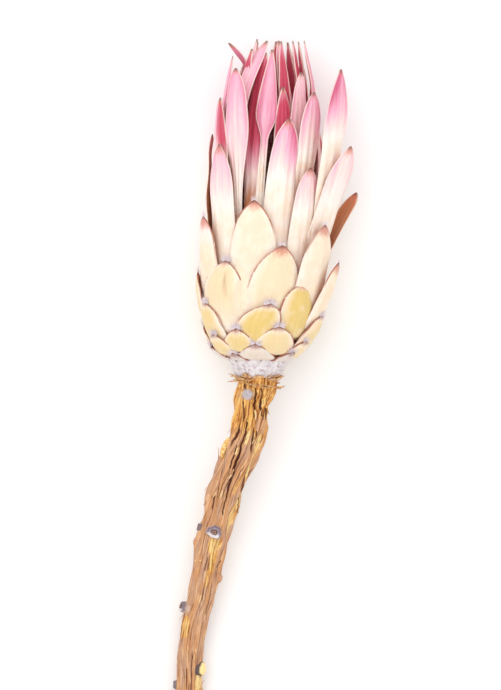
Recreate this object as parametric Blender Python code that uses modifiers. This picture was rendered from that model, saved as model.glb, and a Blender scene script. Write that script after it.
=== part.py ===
"""A dried protea: one cut, closed flower head on its woody stem, lying on its side.

The flower lies along +Y with its stem towards -Y, and rests on z = 0. Its head is a
spiral of stiff bracts on a solid receptacle, round a cone of florets. The driving
numbers are in millimetres and degrees, and MM takes them to metres.
"""

import math
import random
from collections import namedtuple

import bmesh
import bpy
import numpy as np
from mathutils import Matrix, Vector

MM = 0.001
UP = Vector((0, 0, 1))

# Where the flower lies: the middle of the head's base, and the way its axis points.
HEAD_BASE = Vector((-2.6, 3.6, 20.9))
HEAD_YAW_DEG = 2.6
HEAD_PITCH_DEG = 0.6

# The spiral of bracts. Azimuths run from the sky towards +X, and heights along the
# head's axis from its base. Places below 0 are the lowest, woolly bracts.
GOLDEN_ANGLE_DEG = 137.508
FIRST_AZIMUTH_DEG = -4.0
BRACTS = range(-5, 75)
INNER = range(54, 75)
BRACT_THICKNESS = 0.7
# A blade widens from its claw over a share of its length, by place, and its shoulders
# run out to a narrow tip.
CLAW_SHARES = ((10, 0.8), (22, 0.5))
WIDENING_SHARES = ((52, 0.32), (60, 0.68))
TIP_HALF_WIDTH = 0.35
# How far it leaves its own layer: by height, over its root, and in the sweep of its tip.
LAYER_SLOPE = 0.07
ROOT_SHARE = 0.2
TIP_FLARE = 0.4
TIP_SWEEP, LONGEST_BEND_SHARE = 1.7, 0.7
# Radius of its cross section, as a share of its distance from the axis and at least.
CROSS_CURVE, FLATTEST_CURVE = 0.8, 6.0
# Cells along a blade, by its length. Rows crowd towards the tip.
CELLS_ACROSS, CELLS_ALONG = 2, ((26, 4), (60, 5), (math.inf, 6))
ROW_CROWDING = 0.65
# What presses this far into the ground is cut flat, so that the flower rests on it.
GROUND_CUT = 0.1

# Outline of the closed head: height, radius.
HEAD_PROFILE = (
    (3, 8.6), (5, 11.4), (6.5, 13.3), (9, 15.9), (12, 17.8), (17, 19.8), (23, 21.1),
    (30, 21.7), (44, 21.6), (60, 21.0), (75, 20.0), (90, 18.4), (102, 16.6), (118, 13.6),
)
# By place in the spiral: how high a bract's tip comes, where its root sits in the
# receptacle, how deep it lies under its outer neighbours, and how far its tip leans in.
TIP_HEIGHTS = (
    (-8, 5.5), (0, 11), (5, 15.5), (10, 20.5), (18, 33), (26, 46), (32, 58), (37, 74),
    (45, 94), (50, 104), (57, 110), (74, 115),
)
ROOT_HEIGHTS = ((-5, 4.7), (0, 5.0), (10, 7.4), (30, 14), (50, 26), (60, 38), (74, 39))
ROOT_RADII = ((-5, 6.2), (0, 6.8), (10, 9.0), (30, 13), (50, 15.6), (60, 14.6), (74, 11.0))
LAYER_DEPTHS = ((-5, 2.0), (10, 3.2), (30, 4.6), (50, 5.2), (74, 9.5))
INNER_LAYERS = ((44, 0.0), (52, 1.2), (60, 3.2), (74, 5.6))
LEANS = ((44, 0.0), (52, 2.0), (60, 5.0), (74, 9.5))
# By the height of its tip: how wide a bract is, how long its shoulders take to widen,
# and how far down its tip starts to leave the bract's own layer.
HALF_WIDTHS = (
    (5, 4.6), (11, 6.8), (17, 7.5), (30, 8.2), (45, 9.0), (58, 8.2), (70, 6.0),
    (85, 5.1), (104, 4.4), (110, 3.4), (116, 2.6),
)
SHOULDERS = (
    (5, 2.0), (11, 2.4), (26, 2.6), (33, 3.4), (45, 6.0), (60, 6.2), (74, 4.8), (116, 4.4),
)
INNER_SHOULDERS = ((54, 5.0), (58, 9.0))
TIP_BENDS = ((5, 5), (30, 16), (60, 30), (85, 46), (116, 64))

# Bracts that are set by hand, because they show from above or carry the head on their
# tips (17, 22 and 25): azimuth in degrees, tip height, tip radius, half width and,
# where they differ from the rule, the length of their shoulders and of their bend, by
# how many degrees they sway round the head and twist about their own length, and how
# deep their layer lies.
Seen = namedtuple(
    "Seen",
    "azimuth tip_height tip_radius half_width shoulder bend sway twist inner",
    defaults=5 * (0,),
)
SEEN_BRACTS = {
    0: Seen(-4, 10.9, None, 10.8, shoulder=4.0),
    2: Seen(61, 12.8, 18.6, 7.2),
    5: Seen(19.5, 17.2, None, 9.4, shoulder=3.2),
    8: Seen(-23.5, 16.0, None, 8.5, shoulder=3.8, sway=1),
    10: Seen(72, 21.6, 22.4, 7.4, bend=14),
    11: Seen(-65, 24.2, 20.8, 7.8),
    13: Seen(9, 24.8, None, 8.3, sway=13),
    15: Seen(96, 28.0, None, 7.4),
    16: Seen(-36.5, 38.8, 20.8, 12.0, shoulder=5.6, sway=12),
    17: Seen(178, 31.4, 20.8, 8.2),
    18: Seen(39.5, 32.2, None, 8.8, sway=-3),
    21: Seen(-10, 59.7, None, 9.1, shoulder=6.6),
    22: Seen(203, 39.5, 23.5, 8.4),
    23: Seen(71, 39.8, 27.4, 6.9, bend=34),
    24: Seen(-66, 53.5, 22.8, 7.0, shoulder=4),
    25: Seen(158, 44.4, 23.4, 8.6),
    26: Seen(17.5, 44.8, None, 10.4, sway=6),
    29: Seen(-25, 46.0, 17.6, 6.0),
    31: Seen(55.5, 52.4, 25.2, 9.4, bend=50),
    32: Seen(-95, 52.0, 20.8, 7.4),
    34: Seen(8, 47.0, 19.2, 5.0),
    36: Seen(100, 63.8, 31.4, 6.0, shoulder=4.0, twist=34),
    37: Seen(-52, 78.2, 21.0, 6.1, shoulder=5.4, sway=-6),
    39: Seen(42, 71.6, 22.3, 6.2),
    42: Seen(-38, 114.0, 3.1, 3.0, shoulder=3.4, bend=25),
    44: Seen(65.5, 79.4, 31.0, 7.6, shoulder=7.4, bend=50, twist=-24),
    45: Seen(-70, 94.0, 18.0, 5.2, sway=-16),
    47: Seen(21, 87.8, 19.2, 5.3, shoulder=5.0, sway=8),
    49: Seen(101, 100.0, 14.0, 4.6),
    50: Seen(-40, 104.2, 18.8, 4.9, shoulder=4.6, sway=-8),
    52: Seen(46, 97.2, 20.7, 4.9),
    53: Seen(-85, 108.3, 13.4, 4.2),
    55: Seen(0, 111.0, 7.6, 5.7, shoulder=21, sway=7),
    57: Seen(60.5, 105.4, 27.2, 6.0, shoulder=8.4, bend=135, twist=-14),
    58: Seen(-50, 111.0, 9.0, 3.4),
    59: Seen(22, 98.5, 11.5, 4.2),
    60: Seen(38, 114.2, 3.4, 3.0, shoulder=5.0, bend=75),
    63: Seen(-78, 112.6, 15.2, 2.8, shoulder=3.0, bend=12, twist=40, inner=8.6),
    61: Seen(-112, 106.5, 10.0, 2.8),
    62: Seen(105, 114.2, 9.2, 2.8),
    64: Seen(-20, 110.0, 6.4, 4.2),
    65: Seen(80, 114.6, 11.0, 3.4, bend=30, inner=1.8),
    66: Seen(-80, 107.0, 8.5, 2.4),
    67: Seen(135, 113.8, 7.4, 2.8),
    68: Seen(43, 103.7, 15.0, 3.8, shoulder=5),
    70: Seen(70, 114.3, 7.4, 2.6),
    71: Seen(-62, 114.4, 6.0, 2.4),
    72: Seen(172, 114.0, 9.0, 2.8),
    73: Seen(30, 114.0, 5.8, 2.4),
    74: Seen(-100, 108.0, 6.5, 2.4),
}
# Bracts with a long narrow claw: the height where it ends, the height where the blade is
# widest, and the claw's half width.
Claw = namedtuple("Claw", "top widest half_width")
CLAWS = {50: Claw(57.0, 88.0, 1.3), 55: Claw(80.0, 90.0, 1.3)}

# The receptacle carries the bracts, and the florets stand in its well.
CORE_OUTSIDE = (
    (42.0, 16.2), (36.0, 17.2), (28.0, 17.6), (20.0, 16.6), (13.0, 14.3), (8.0, 11.6),
    (5.8, 9.2), (4.2, 6.6), (0.0, 6.0),
)
WELL_RADIUS, WELL_FLOOR, WELL_TOP = 8.8, 24.0, 42.0
CORE_SIDES = 36
MERGE_GAP = 0.1

# The florets: a cone of them, packed by the same spiral. Height, radius.
FLORET_CONE = ((78.0, 1.2), (62.0, 5.0), (44.0, 8.1), (24.3, 8.3))
CONE_SIDES = 18
FLORETS = 52
LOWEST_FLORET, HIGHEST_FLORET, FLORET_CROWDING = 44.0, 74.0, 0.8
LOWEST_LENGTH, HIGHEST_LENGTH = 16.5, 9.0
FLORET_RADIUS, FLORET_TIP_RADIUS, FLORET_SIDES = 0.8, 0.44, 4
FLORET_SPREAD, FLORET_SINK = 0.6, 0.4

# The ring of woolly scales round the neck, and the two waves of its tufts.
WOOL_HEIGHT, WOOL_RADIUS, WOOL_HALF_WIDTH, WOOL_HALF_DEPTH = 2.15, 8.05, 1.6, 2.1
WOOL_SIDES, WOOL_SECTION = 30, 8
TUFT_DEPTH = 0.35
BROAD_TUFTS, BROAD_SHARE = 7, 0.6
FINE_TUFTS = 12

# The stem's middle line, from the head down: x, y, height above the ground, radius.
STEM_COURSE = (
    (-2.62, 3.2, 20.9, 8.6),
    (-2.66, 2.3, 20.9, 8.7),
    (-2.8, 0.6, 20.85, 7.1),
    (-3.3, -1.6, 20.7, 6.0),
    (-4.2, -5.0, 20.2, 5.5),
    (-5.0, -12.5, 19.1, 5.4),
    (-7.2, -20.5, 17.8, 5.6),
    (-10.8, -29.0, 16.1, 5.4),
    (-14.0, -37.5, 14.3, 5.5),
    (-16.4, -47.0, 12.4, 5.2),
    (-18.8, -56.5, 10.6, 5.2),
    (-20.6, -66.5, 8.8, 4.7),
    (-22.0, -73.5, 7.6, 4.4),
    (-23.7, -79.0, 6.9, 4.3),
    (-25.2, -88.0, 5.8, 4.2),
    (-25.6, -97.0, 5.0, 4.3),
    (-26.0, -107.0, 4.4, 4.3),
    (-26.4, -118.7, 4.02, 4.2),
)
STEPS_PER_SPAN = 2
STEM_BEVEL_RESOLUTION = 8
# Bark: how deep its furrows are by distance along Y, and their number, twist and
# wander as (degrees, length of the wave).
FURROW_DEPTHS = ((-121, 0.15), (-60, 0.3), (-45, 0.65), (-4, 0.85), (1, 0.3))
FURROWS, FURROW_TWIST = 5, 0.06
FINE_FURROWS, FINE_TWIST, FINE_SHARE = 9, -0.17, 0.45
LONG_WANDER, SHORT_WANDER = (40, 9.0), (23, 3.7)

# What stands out of the bark: place along Y, degrees round the stem from its top
# towards +X, then length, width and how far its middle lies inside the bark.
Knot = namedtuple("Knot", "along around length width sunk")
KNOTS = (
    Knot(-2.6, -22, 3.6, 3.2, 0.2),
    Knot(-13.4, 90, 5.0, 3.0, 0.5),
    Knot(-23.0, -88, 8.0, 3.4, 0.2),
    Knot(-34.0, 176, 5.6, 4.6, 1.4),
    Knot(-48.6, -2, 5.2, 6.2, 1.8),
    Knot(-49.3, -92, 3.0, 3.0, 0.4),
    Knot(-54.0, -88, 4.0, 3.0, 0.4),
    Knot(-64.4, 90, 3.6, 3.0, 0.5),
    Knot(-76.6, -72, 4.6, 4.6, -0.4),
    Knot(-86.0, 160, 4.6, 4.2, 1.2),
    Knot(-96.0, 62, 5.4, 5.0, 0.9),
    Knot(-101.8, -88, 3.2, 3.0, 0.3),
)
KNOT_SEGMENTS, KNOT_RINGS = 8, 5

# Splinters of torn bark round the stem's top: where they root, and their spreads.
SPLINTERS, SPLINTER_SEED = 17, 5
RIM_RADIUS, RIM_DROP = 6.8, 1.6
SPLINTER_LENGTHS, SPLINTER_WIDTHS = (2.8, 4.6), (1.0, 1.7)
SPLINTER_THICKNESS, SPLINTER_POINT = 0.6, 0.3
SPLINTER_JITTER, SPLINTER_TILT = 0.3, 0.25


def lookup(table, value):
    """The table's second column at value, in straight steps between its rows."""
    rows = sorted(table)
    return float(np.interp(value, [row[0] for row in rows], [row[1] for row in rows]))


def smooth_step(share):
    share = min(max(share, 0.0), 1.0)
    return share * share * (3 - 2 * share)


def mix(first, second, share):
    return first + (second - first) * share


def clear_scene():
    """Removes what the file opens with."""
    for obj in list(bpy.data.objects):
        bpy.data.objects.remove(obj)


def new_collection(name, parent):
    collection = bpy.data.collections.new(name)
    parent.children.link(collection)
    return collection


def material(name, colour, roughness):
    made = bpy.data.materials.new(name)
    made.use_nodes = True
    surface = made.node_tree.nodes["Principled BSDF"]
    surface.inputs["Base Color"].default_value = (*colour, 1)
    surface.inputs["Roughness"].default_value = roughness
    surface.inputs["Metallic"].default_value = 0
    return made


def head_matrix():
    """Takes the head's own frame, with X to the sky and Z along its axis, to the world."""
    yaw, pitch = math.radians(HEAD_YAW_DEG), math.radians(HEAD_PITCH_DEG)
    along = Vector((math.sin(yaw), math.cos(yaw), math.tan(pitch))).normalized()
    side = along.cross(UP).normalized()
    turn = Matrix((side.cross(along), side, along)).transposed().to_4x4()
    return Matrix.Translation(HEAD_BASE * MM) @ turn


def add_mesh(name, mesh_maker, collection):
    """A new object whose mesh the given bmesh function fills in."""
    mesh = bpy.data.meshes.new(name)
    built = bmesh.new()
    mesh_maker(built)
    built.to_mesh(mesh)
    built.free()
    obj = bpy.data.objects.new(name, mesh)
    collection.objects.link(obj)
    return obj


def bake_modifiers(obj):
    """Replaces the object's mesh with what its modifiers make of it."""
    bpy.context.view_layer.update()
    evaluated = obj.evaluated_get(bpy.context.evaluated_depsgraph_get())
    obj.data = bpy.data.meshes.new_from_object(evaluated)
    obj.modifiers.clear()


def join_all(obj, pieces):
    """Fuses every object of the collection into obj, then removes them."""
    union = obj.modifiers.new("Union", "BOOLEAN")
    union.operand_type = "COLLECTION"
    union.collection = pieces
    union.operation = "UNION"
    union.solver = "MANIFOLD"
    bake_modifiers(obj)
    for piece in list(pieces.objects):
        bpy.data.objects.remove(piece)


class Bract:
    """One bract of the spiral, as a curved blade over (across, along)."""

    def __init__(self, place):
        seen = SEEN_BRACTS.get(place)
        self.place = place
        self.azimuth = math.radians(FIRST_AZIMUTH_DEG - GOLDEN_ANGLE_DEG * place)
        self.sway = self.twist = 0.0
        self.tip_height = lookup(TIP_HEIGHTS, place)
        self.tip_radius = None
        self.inner = lookup(INNER_LAYERS, place)
        self.depth = lookup(LAYER_DEPTHS, place)
        if seen:
            self.azimuth = math.radians(seen.azimuth)
            self.sway = math.radians(seen.sway)
            self.twist = math.radians(seen.twist)
            self.tip_height = seen.tip_height
            self.tip_radius = seen.tip_radius
        if seen and seen.inner:
            self.inner = self.depth = seen.inner
        if self.tip_radius is None:
            outline = lookup(HEAD_PROFILE, self.tip_height)
            self.tip_radius = outline + TIP_FLARE - lookup(LEANS, place)
        self.half_width = seen.half_width if seen else lookup(HALF_WIDTHS, self.tip_height)
        self.shoulder = lookup(SHOULDERS, self.tip_height)
        if place in INNER:
            self.shoulder = lookup(INNER_SHOULDERS, place)
        if seen and seen.shoulder:
            self.shoulder = seen.shoulder
        self.root_height = lookup(ROOT_HEIGHTS, place)
        self.root_radius = lookup(ROOT_RADII, place)
        self.length = self.tip_height - self.root_height
        self.bend = min(lookup(TIP_BENDS, self.tip_height), LONGEST_BEND_SHARE * self.length)
        if seen and seen.bend:
            self.bend = seen.bend
        self.claw, self.claw_top = lookup(CLAW_SHARES, place), 0.0
        self.widest = lookup(WIDENING_SHARES, place)
        if place in CLAWS:
            claw = CLAWS[place]
            self.claw = claw.half_width / self.half_width
            self.claw_top = (claw.top - self.root_height) / self.length
            self.widest = (claw.widest - self.root_height) / self.length

    def midline(self, along):
        """Height, radius and azimuth of the blade's middle line, and how free it stands."""
        height = self.root_height + self.length * along
        outline = lookup(HEAD_PROFILE, height)
        slope = LAYER_SLOPE * (self.tip_height - height)
        layer = outline - min(slope + self.inner, self.depth)
        radius = mix(self.root_radius, layer, smooth_step(along / ROOT_SHARE))
        tip_line = self.tip_radius + outline - lookup(HEAD_PROFILE, self.tip_height)
        free = max(0, 1 - (self.tip_height - height) / self.bend) ** TIP_SWEEP
        return height, mix(radius, tip_line, free), self.azimuth - self.sway * (1 - free), free

    def width(self, along):
        """Half the blade's width: a widening claw, and shoulders that run out to the tip."""
        share = (along - self.claw_top) / (self.widest - self.claw_top)
        claw = mix(self.claw, 1, smooth_step(share))
        shoulders = 1 - math.exp((along - 1) * self.length / self.shoulder)
        return TIP_HALF_WIDTH + (self.half_width - TIP_HALF_WIDTH) * claw * shoulders

    def point(self, across, along):
        """Where the blade's outer face is, in the head's own frame."""
        height, radius, azimuth, free = self.midline(along)
        curve = max(CROSS_CURVE * radius, FLATTEST_CURVE)
        turn = across * self.width(along) / curve
        section = Vector((curve * (math.cos(turn) - 1), curve * math.sin(turn), 0))
        section = Matrix.Rotation(self.twist * free, 3, "Z") @ section
        return Matrix.Rotation(azimuth, 3, "Z") @ (Vector((radius, 0, height)) + section)

    def cells_along(self):
        return next(cells for longest, cells in CELLS_ALONG if self.length < longest)


def add_bract(place, to_world, collection):
    bract = Bract(place)

    def blade(built):
        bmesh.ops.create_grid(
            built, x_segments=CELLS_ACROSS, y_segments=bract.cells_along(), size=0.5
        )
        for vertex in built.verts:
            share = Vector((2 * vertex.co.x, vertex.co.y + 0.5))
            share.y **= ROW_CROWDING
            vertex.co = to_world @ (bract.point(*share) * MM)
            vertex.co.z = max(vertex.co.z, -GROUND_CUT * MM)
        bmesh.ops.triangulate(built, faces=built.faces, quad_method="FIXED")

    obj = add_mesh(f"bract_{place - BRACTS.start:02d}", blade, collection)
    solid = obj.modifiers.new("Thickness", "SOLIDIFY")
    solid.thickness = BRACT_THICKNESS * MM
    solid.offset = -1


def turned(name, profile, sides, collection):
    """A body turned from (height, radius) rows that run down its outside."""

    def outline(built):
        corners = [built.verts.new((radius * MM, 0, height * MM)) for height, radius in profile]
        for first, second in zip(corners, corners[1:]):
            built.edges.new((first, second))

    obj = add_mesh(name, outline, collection)
    screw = obj.modifiers.new("Turn", "SCREW")
    screw.axis = "Z"
    screw.steps = screw.render_steps = sides
    screw.merge_threshold = MERGE_GAP * MM
    screw.use_merge_vertices = True
    bake_modifiers(obj)
    return obj


def add_involucre(to_world, collection, workshop):
    """The receptacle with every bract fused to it."""
    well = ((WELL_FLOOR, 0), (WELL_FLOOR, WELL_RADIUS), (WELL_TOP, WELL_RADIUS))
    core = turned("involucre", (*well, *CORE_OUTSIDE, (0, 0)), CORE_SIDES, collection)
    core.data.transform(to_world)
    for place in BRACTS:
        add_bract(place, to_world, workshop)
    join_all(core, workshop)
    cut_at_ground(core, workshop)
    return core


def cut_at_ground(obj, workshop):
    """Flattens what the object presses into the ground."""
    below = add_mesh("below_ground", lambda built: bmesh.ops.create_cube(built, size=1), workshop)
    below.data.transform(Matrix.Translation((0, 0, -0.5)))
    cut = obj.modifiers.new("Ground", "BOOLEAN")
    cut.object = below
    cut.operation = "DIFFERENCE"
    bake_modifiers(obj)
    bpy.data.objects.remove(below)


def add_florets(to_world, collection, workshop):
    """A cone of slim florets that stands in the receptacle's well."""
    top, floor = FLORET_CONE[0][0], FLORET_CONE[-1][0]
    cone = turned("florets", ((top, 0), *FLORET_CONE, (floor, 0)), CONE_SIDES, collection)
    for number in range(FLORETS):
        add_floret(number, workshop)
    join_all(cone, workshop)
    cone.data.transform(to_world)
    return cone


def add_floret(number, collection):
    share = (number + 0.5) / FLORETS
    height = mix(LOWEST_FLORET, HIGHEST_FLORET, share**FLORET_CROWDING)
    azimuth = math.radians(GOLDEN_ANGLE_DEG * number)
    radius = lookup(FLORET_CONE, height) - FLORET_SINK
    length = mix(LOWEST_LENGTH, HIGHEST_LENGTH, share)

    def spike(built):
        bmesh.ops.create_cone(
            built, cap_ends=True, cap_tris=True, segments=FLORET_SIDES,
            radius1=FLORET_RADIUS * MM, radius2=FLORET_TIP_RADIUS * MM, depth=length * MM,
        )

    obj = add_mesh(f"floret_{number:02d}", spike, collection)
    lean = Matrix.Rotation(math.atan2(FLORET_SPREAD, length), 4, "Y")
    place = Matrix.Translation(Vector((radius, 0, height + length / 2)) * MM)
    obj.matrix_world = Matrix.Rotation(azimuth, 4, "Z") @ place @ lean


def add_wool(to_world, collection):
    """The ring of woolly scales between the stem's torn bark and the lowest bracts."""
    bpy.ops.mesh.primitive_torus_add(
        major_radius=WOOL_RADIUS * MM, minor_radius=WOOL_HALF_WIDTH * MM,
        major_segments=WOOL_SIDES, minor_segments=WOOL_SECTION,
    )
    wool = bpy.context.object
    wool.name = "woolly_scales"
    for owner in list(wool.users_collection):
        owner.objects.unlink(wool)
    collection.objects.link(wool)
    flatten = WOOL_HALF_DEPTH / WOOL_HALF_WIDTH
    for vertex in wool.data.vertices:
        x, y, z = vertex.co
        azimuth = math.atan2(y, x)
        outer = max(0, math.hypot(x, y) / MM - WOOL_RADIUS) / WOOL_HALF_WIDTH
        tuft = math.sin(FINE_TUFTS * azimuth) + BROAD_SHARE * math.sin(BROAD_TUFTS * azimuth + 1)
        grow = 1 + outer * TUFT_DEPTH * tuft / WOOL_RADIUS
        vertex.co = (x * grow, y * grow, z * flatten + WOOL_HEIGHT * MM)
    wool.data.transform(to_world)
    return wool


def smooth_course():
    """Points of a smooth curve through the stem's course, as (x, y, z, radius)."""
    rows = [np.array(row, float) for row in STEM_COURSE]
    rows = [2 * rows[0] - rows[1], *rows, 2 * rows[-1] - rows[-2]]
    course = []
    for before, start, end, after in zip(rows, rows[1:], rows[2:], rows[3:]):
        for step in range(STEPS_PER_SPAN):
            share = step / STEPS_PER_SPAN
            course.append(
                0.5 * (
                    2 * start + (end - before) * share
                    + (2 * before - 5 * start + 4 * end - after) * share**2
                    + (3 * start - before - 3 * end + after) * share**3
                )
            )
    return [*course, rows[-2]]


def stem_at(along):
    """The stem's middle, radius and direction at a place along Y, in millimetres."""
    course = np.array(smooth_course())[::-1]
    x, z, radius = (float(np.interp(along, course[:, 1], course[:, i])) for i in (0, 2, 3))
    ahead = [float(np.interp(along + 1, course[:, 1], course[:, i])) for i in (0, 2)]
    direction = Vector((ahead[0] - x, 1, ahead[1] - z)).normalized()
    return Vector((x, along, z)), radius, direction


def furrow(around, along):
    """How far the bark stands out or in, round the stem and along it."""
    wander = sum(
        math.radians(swing) * math.sin(along / wave) for swing, wave in (LONG_WANDER, SHORT_WANDER)
    )
    broad = math.sin(FURROWS * (around + FURROW_TWIST * along) + wander)
    fine = math.sin(FINE_FURROWS * around + FINE_TWIST * along + 2 * wander)
    return lookup(FURROW_DEPTHS, along) * (broad + FINE_SHARE * fine)


def add_stem(collection, workshop):
    """The woody stem: a swept course with furrowed bark, knots and a torn rim."""
    stem = sweep_course(collection, workshop)
    built = bmesh.new()
    built.from_mesh(stem.data)
    bmesh.ops.remove_doubles(built, verts=built.verts, dist=MERGE_GAP * MM / 10)
    for vertex in built.verts:
        raise_bark(vertex)
    built.to_mesh(stem.data)
    built.free()
    for number, knot in enumerate(KNOTS):
        add_knot(f"knot_{number:02d}", knot, workshop)
    add_splinters(workshop)
    join_all(stem, workshop)
    cut_at_ground(stem, workshop)
    return stem


def sweep_course(collection, workshop):
    """A round body of changing thickness along the stem's course."""
    course = smooth_course()
    curve = bpy.data.curves.new("stem_course", "CURVE")
    curve.dimensions = "3D"
    curve.bevel_depth = MM
    curve.bevel_resolution = STEM_BEVEL_RESOLUTION
    curve.use_fill_caps = True
    spline = curve.splines.new("POLY")
    spline.points.add(len(course) - 1)
    for point, (x, y, z, radius) in zip(spline.points, course):
        point.co = (x * MM, y * MM, z * MM, 1)
        point.radius = radius
    guide = bpy.data.objects.new("stem_course", curve)
    workshop.objects.link(guide)
    bpy.context.view_layer.update()
    evaluated = guide.evaluated_get(bpy.context.evaluated_depsgraph_get())
    stem = bpy.data.objects.new("stem", bpy.data.meshes.new_from_object(evaluated))
    collection.objects.link(stem)
    bpy.data.objects.remove(guide)
    return stem


def raise_bark(vertex):
    """Moves a point of the stem's surface in or out, and leaves its end caps flat."""
    middle, radius, _ = stem_at(vertex.co.y / MM)
    out = vertex.co / MM - middle
    if out.length > radius / 2:
        around = math.atan2(out.x, out.z)
        vertex.co += out.normalized() * furrow(around, vertex.co.y / MM) * MM


def add_knot(name, knot, collection):
    """A leaf scar or bud: a flattened swelling on the bark."""
    middle, radius, direction = stem_at(knot.along)
    side = direction.cross(UP).normalized()
    around = math.radians(knot.around)
    out = side.cross(direction) * math.cos(around) + side * math.sin(around)

    def swelling(built):
        bmesh.ops.create_uvsphere(
            built, u_segments=KNOT_SEGMENTS, v_segments=KNOT_RINGS, radius=0.5
        )

    obj = add_mesh(name, swelling, collection)
    turn = Matrix((direction.cross(out), direction, out)).transposed().to_4x4()
    size = Matrix.Diagonal((knot.width, knot.length, knot.width, 1))
    place = Matrix.Translation(middle + out * (radius - knot.sunk))
    obj.data.transform(Matrix.Scale(MM, 4) @ place @ turn @ size)


def add_splinters(collection):
    """Torn bark that flares round the stem's top."""
    draw = random.Random(SPLINTER_SEED)
    top = STEM_COURSE[0][1]
    middle, _, direction = stem_at(top - RIM_DROP)
    side = direction.cross(UP).normalized()
    up = side.cross(direction)
    for number in range(SPLINTERS):
        jitter = draw.uniform(-SPLINTER_JITTER, SPLINTER_JITTER)
        around = math.tau * (number + jitter) / SPLINTERS
        out = up * math.cos(around) + side * math.sin(around)
        length, width = draw.uniform(*SPLINTER_LENGTHS), draw.uniform(*SPLINTER_WIDTHS)
        tilt = draw.uniform(-SPLINTER_TILT, SPLINTER_TILT)
        aim = (out + direction * tilt).normalized()
        middle_of_splinter = middle + out * RIM_RADIUS + aim * length / 2
        add_splinter(f"splinter_{number:02d}", middle_of_splinter, aim, length, width, collection)


def add_splinter(name, middle, aim, length, width, collection):
    """One flat, tapering splinter that points along aim."""

    def spike(built):
        bmesh.ops.create_cone(
            built, cap_ends=True, segments=4, radius1=1, radius2=SPLINTER_POINT, depth=length
        )

    obj = add_mesh(name, spike, collection)
    turn = aim.to_track_quat("Z", "X").to_matrix().to_4x4()
    flat = Matrix.Diagonal((width, SPLINTER_THICKNESS, 1, 1))
    obj.data.transform(Matrix.Scale(MM, 4) @ Matrix.Translation(middle) @ turn @ flat)


def main():
    clear_scene()
    scene = bpy.context.scene
    flower = new_collection("protea", scene.collection)
    workshop = new_collection("workshop", scene.collection)
    to_world = head_matrix()
    finishes = {
        add_involucre(to_world, flower, workshop): ("bracts", (0.93, 0.72, 0.55), 0.6),
        add_florets(to_world, flower, workshop): ("florets", (0.45, 0.13, 0.12), 0.7),
        add_wool(to_world, flower): ("wool", (0.78, 0.74, 0.72), 0.95),
        add_stem(flower, workshop): ("bark", (0.55, 0.33, 0.17), 0.8),
    }
    for piece, finish in finishes.items():
        piece.data.materials.clear()
        piece.data.materials.append(material(*finish))


main()
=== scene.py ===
"""Looks of a dried protea: a cut, closed flower head on its woody stem, lying on its side.

Millimetres and degrees throughout, unless a property says otherwise. The head has a frame
of its own: X to the sky, Y to the right as seen from above, and Z along its axis from its
base. Azimuths run from X towards Y, and heights along Z.
"""

import math
from collections import namedtuple

import bpy
import numpy as np
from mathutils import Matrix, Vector


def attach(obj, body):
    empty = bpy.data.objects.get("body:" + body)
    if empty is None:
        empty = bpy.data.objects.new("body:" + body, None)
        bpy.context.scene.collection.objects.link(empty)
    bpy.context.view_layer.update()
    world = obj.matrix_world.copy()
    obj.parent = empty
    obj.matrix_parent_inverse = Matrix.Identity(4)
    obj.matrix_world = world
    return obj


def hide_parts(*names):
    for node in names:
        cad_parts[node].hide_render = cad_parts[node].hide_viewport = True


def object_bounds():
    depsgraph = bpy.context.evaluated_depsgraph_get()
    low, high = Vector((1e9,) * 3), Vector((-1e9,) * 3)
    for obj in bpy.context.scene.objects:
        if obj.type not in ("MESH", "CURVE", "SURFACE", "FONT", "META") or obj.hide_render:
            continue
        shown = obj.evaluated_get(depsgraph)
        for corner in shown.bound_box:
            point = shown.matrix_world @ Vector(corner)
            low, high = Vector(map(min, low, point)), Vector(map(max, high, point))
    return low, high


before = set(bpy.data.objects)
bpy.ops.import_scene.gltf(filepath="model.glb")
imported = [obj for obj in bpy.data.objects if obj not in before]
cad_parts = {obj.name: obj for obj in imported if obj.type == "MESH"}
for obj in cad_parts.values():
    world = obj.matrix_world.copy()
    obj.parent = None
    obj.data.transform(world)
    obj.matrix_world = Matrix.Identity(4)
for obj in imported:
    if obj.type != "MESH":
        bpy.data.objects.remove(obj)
CAD_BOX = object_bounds()

bl_info = {
    "name": "Dried protea",
    "version": (1, 0, 0),
    "blender": (4, 5, 0),
    "location": "View3D > Sidebar > Protea",
    "description": "Builds a dried protea head with its bracts, wool, florets and woody stem",
    "category": "Object",
}

MM = 0.001
UP = np.array((0.0, 0.0, 1.0))

# Where the head lies, as in the part's source.
HEAD_BASE = np.array((-2.6, 3.6, 20.9))
HEAD_YAW_DEG = 2.6
HEAD_PITCH_DEG = 0.6
GOLDEN_ANGLE_DEG = 137.508
FIRST_AZIMUTH_DEG = -4.0

# The spiral of bracts, by place from the lowest, and the rows it is dressed in.
BRACT_ROWS = {
    "woolly_bracts": range(-5, 0),
    "lower_bracts": range(0, 16),
    "middle_bracts": range(16, 37),
    "upper_bracts": range(37, 54),
    "inner_bracts": range(54, 75),
}
# Cells of one blade, whose rows crowd towards its tip.
CELLS_ACROSS, CELLS_ALONG, ROW_CROWDING = 22, 48, 0.8
# By place: the claw's width as a share of the blade's, and where the blade gets its width.
CLAW_SHARES = ((10, 0.8), (22, 0.5))
WIDENING_SHARES = ((52, 0.32), (60, 0.68))
TIP_HALF_WIDTH = 0.35
# How steeply a blade dives under its outer neighbours, and the share of its length on which
# it runs from its root out to its layer.
LAYER_SLOPE, ROOT_SHARE = 0.07, 0.2
# How far a tip stands off the outline, how late its bend gathers, and how much may bend.
TIP_FLARE, TIP_SWEEP, LONGEST_BEND_SHARE = 0.4, 1.7, 0.7
# The blade's curve from side to side: its radius as a share of the head's, and the least.
CROSS_CURVE, TIGHTEST_CURVE = 0.8, 6.0
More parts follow.
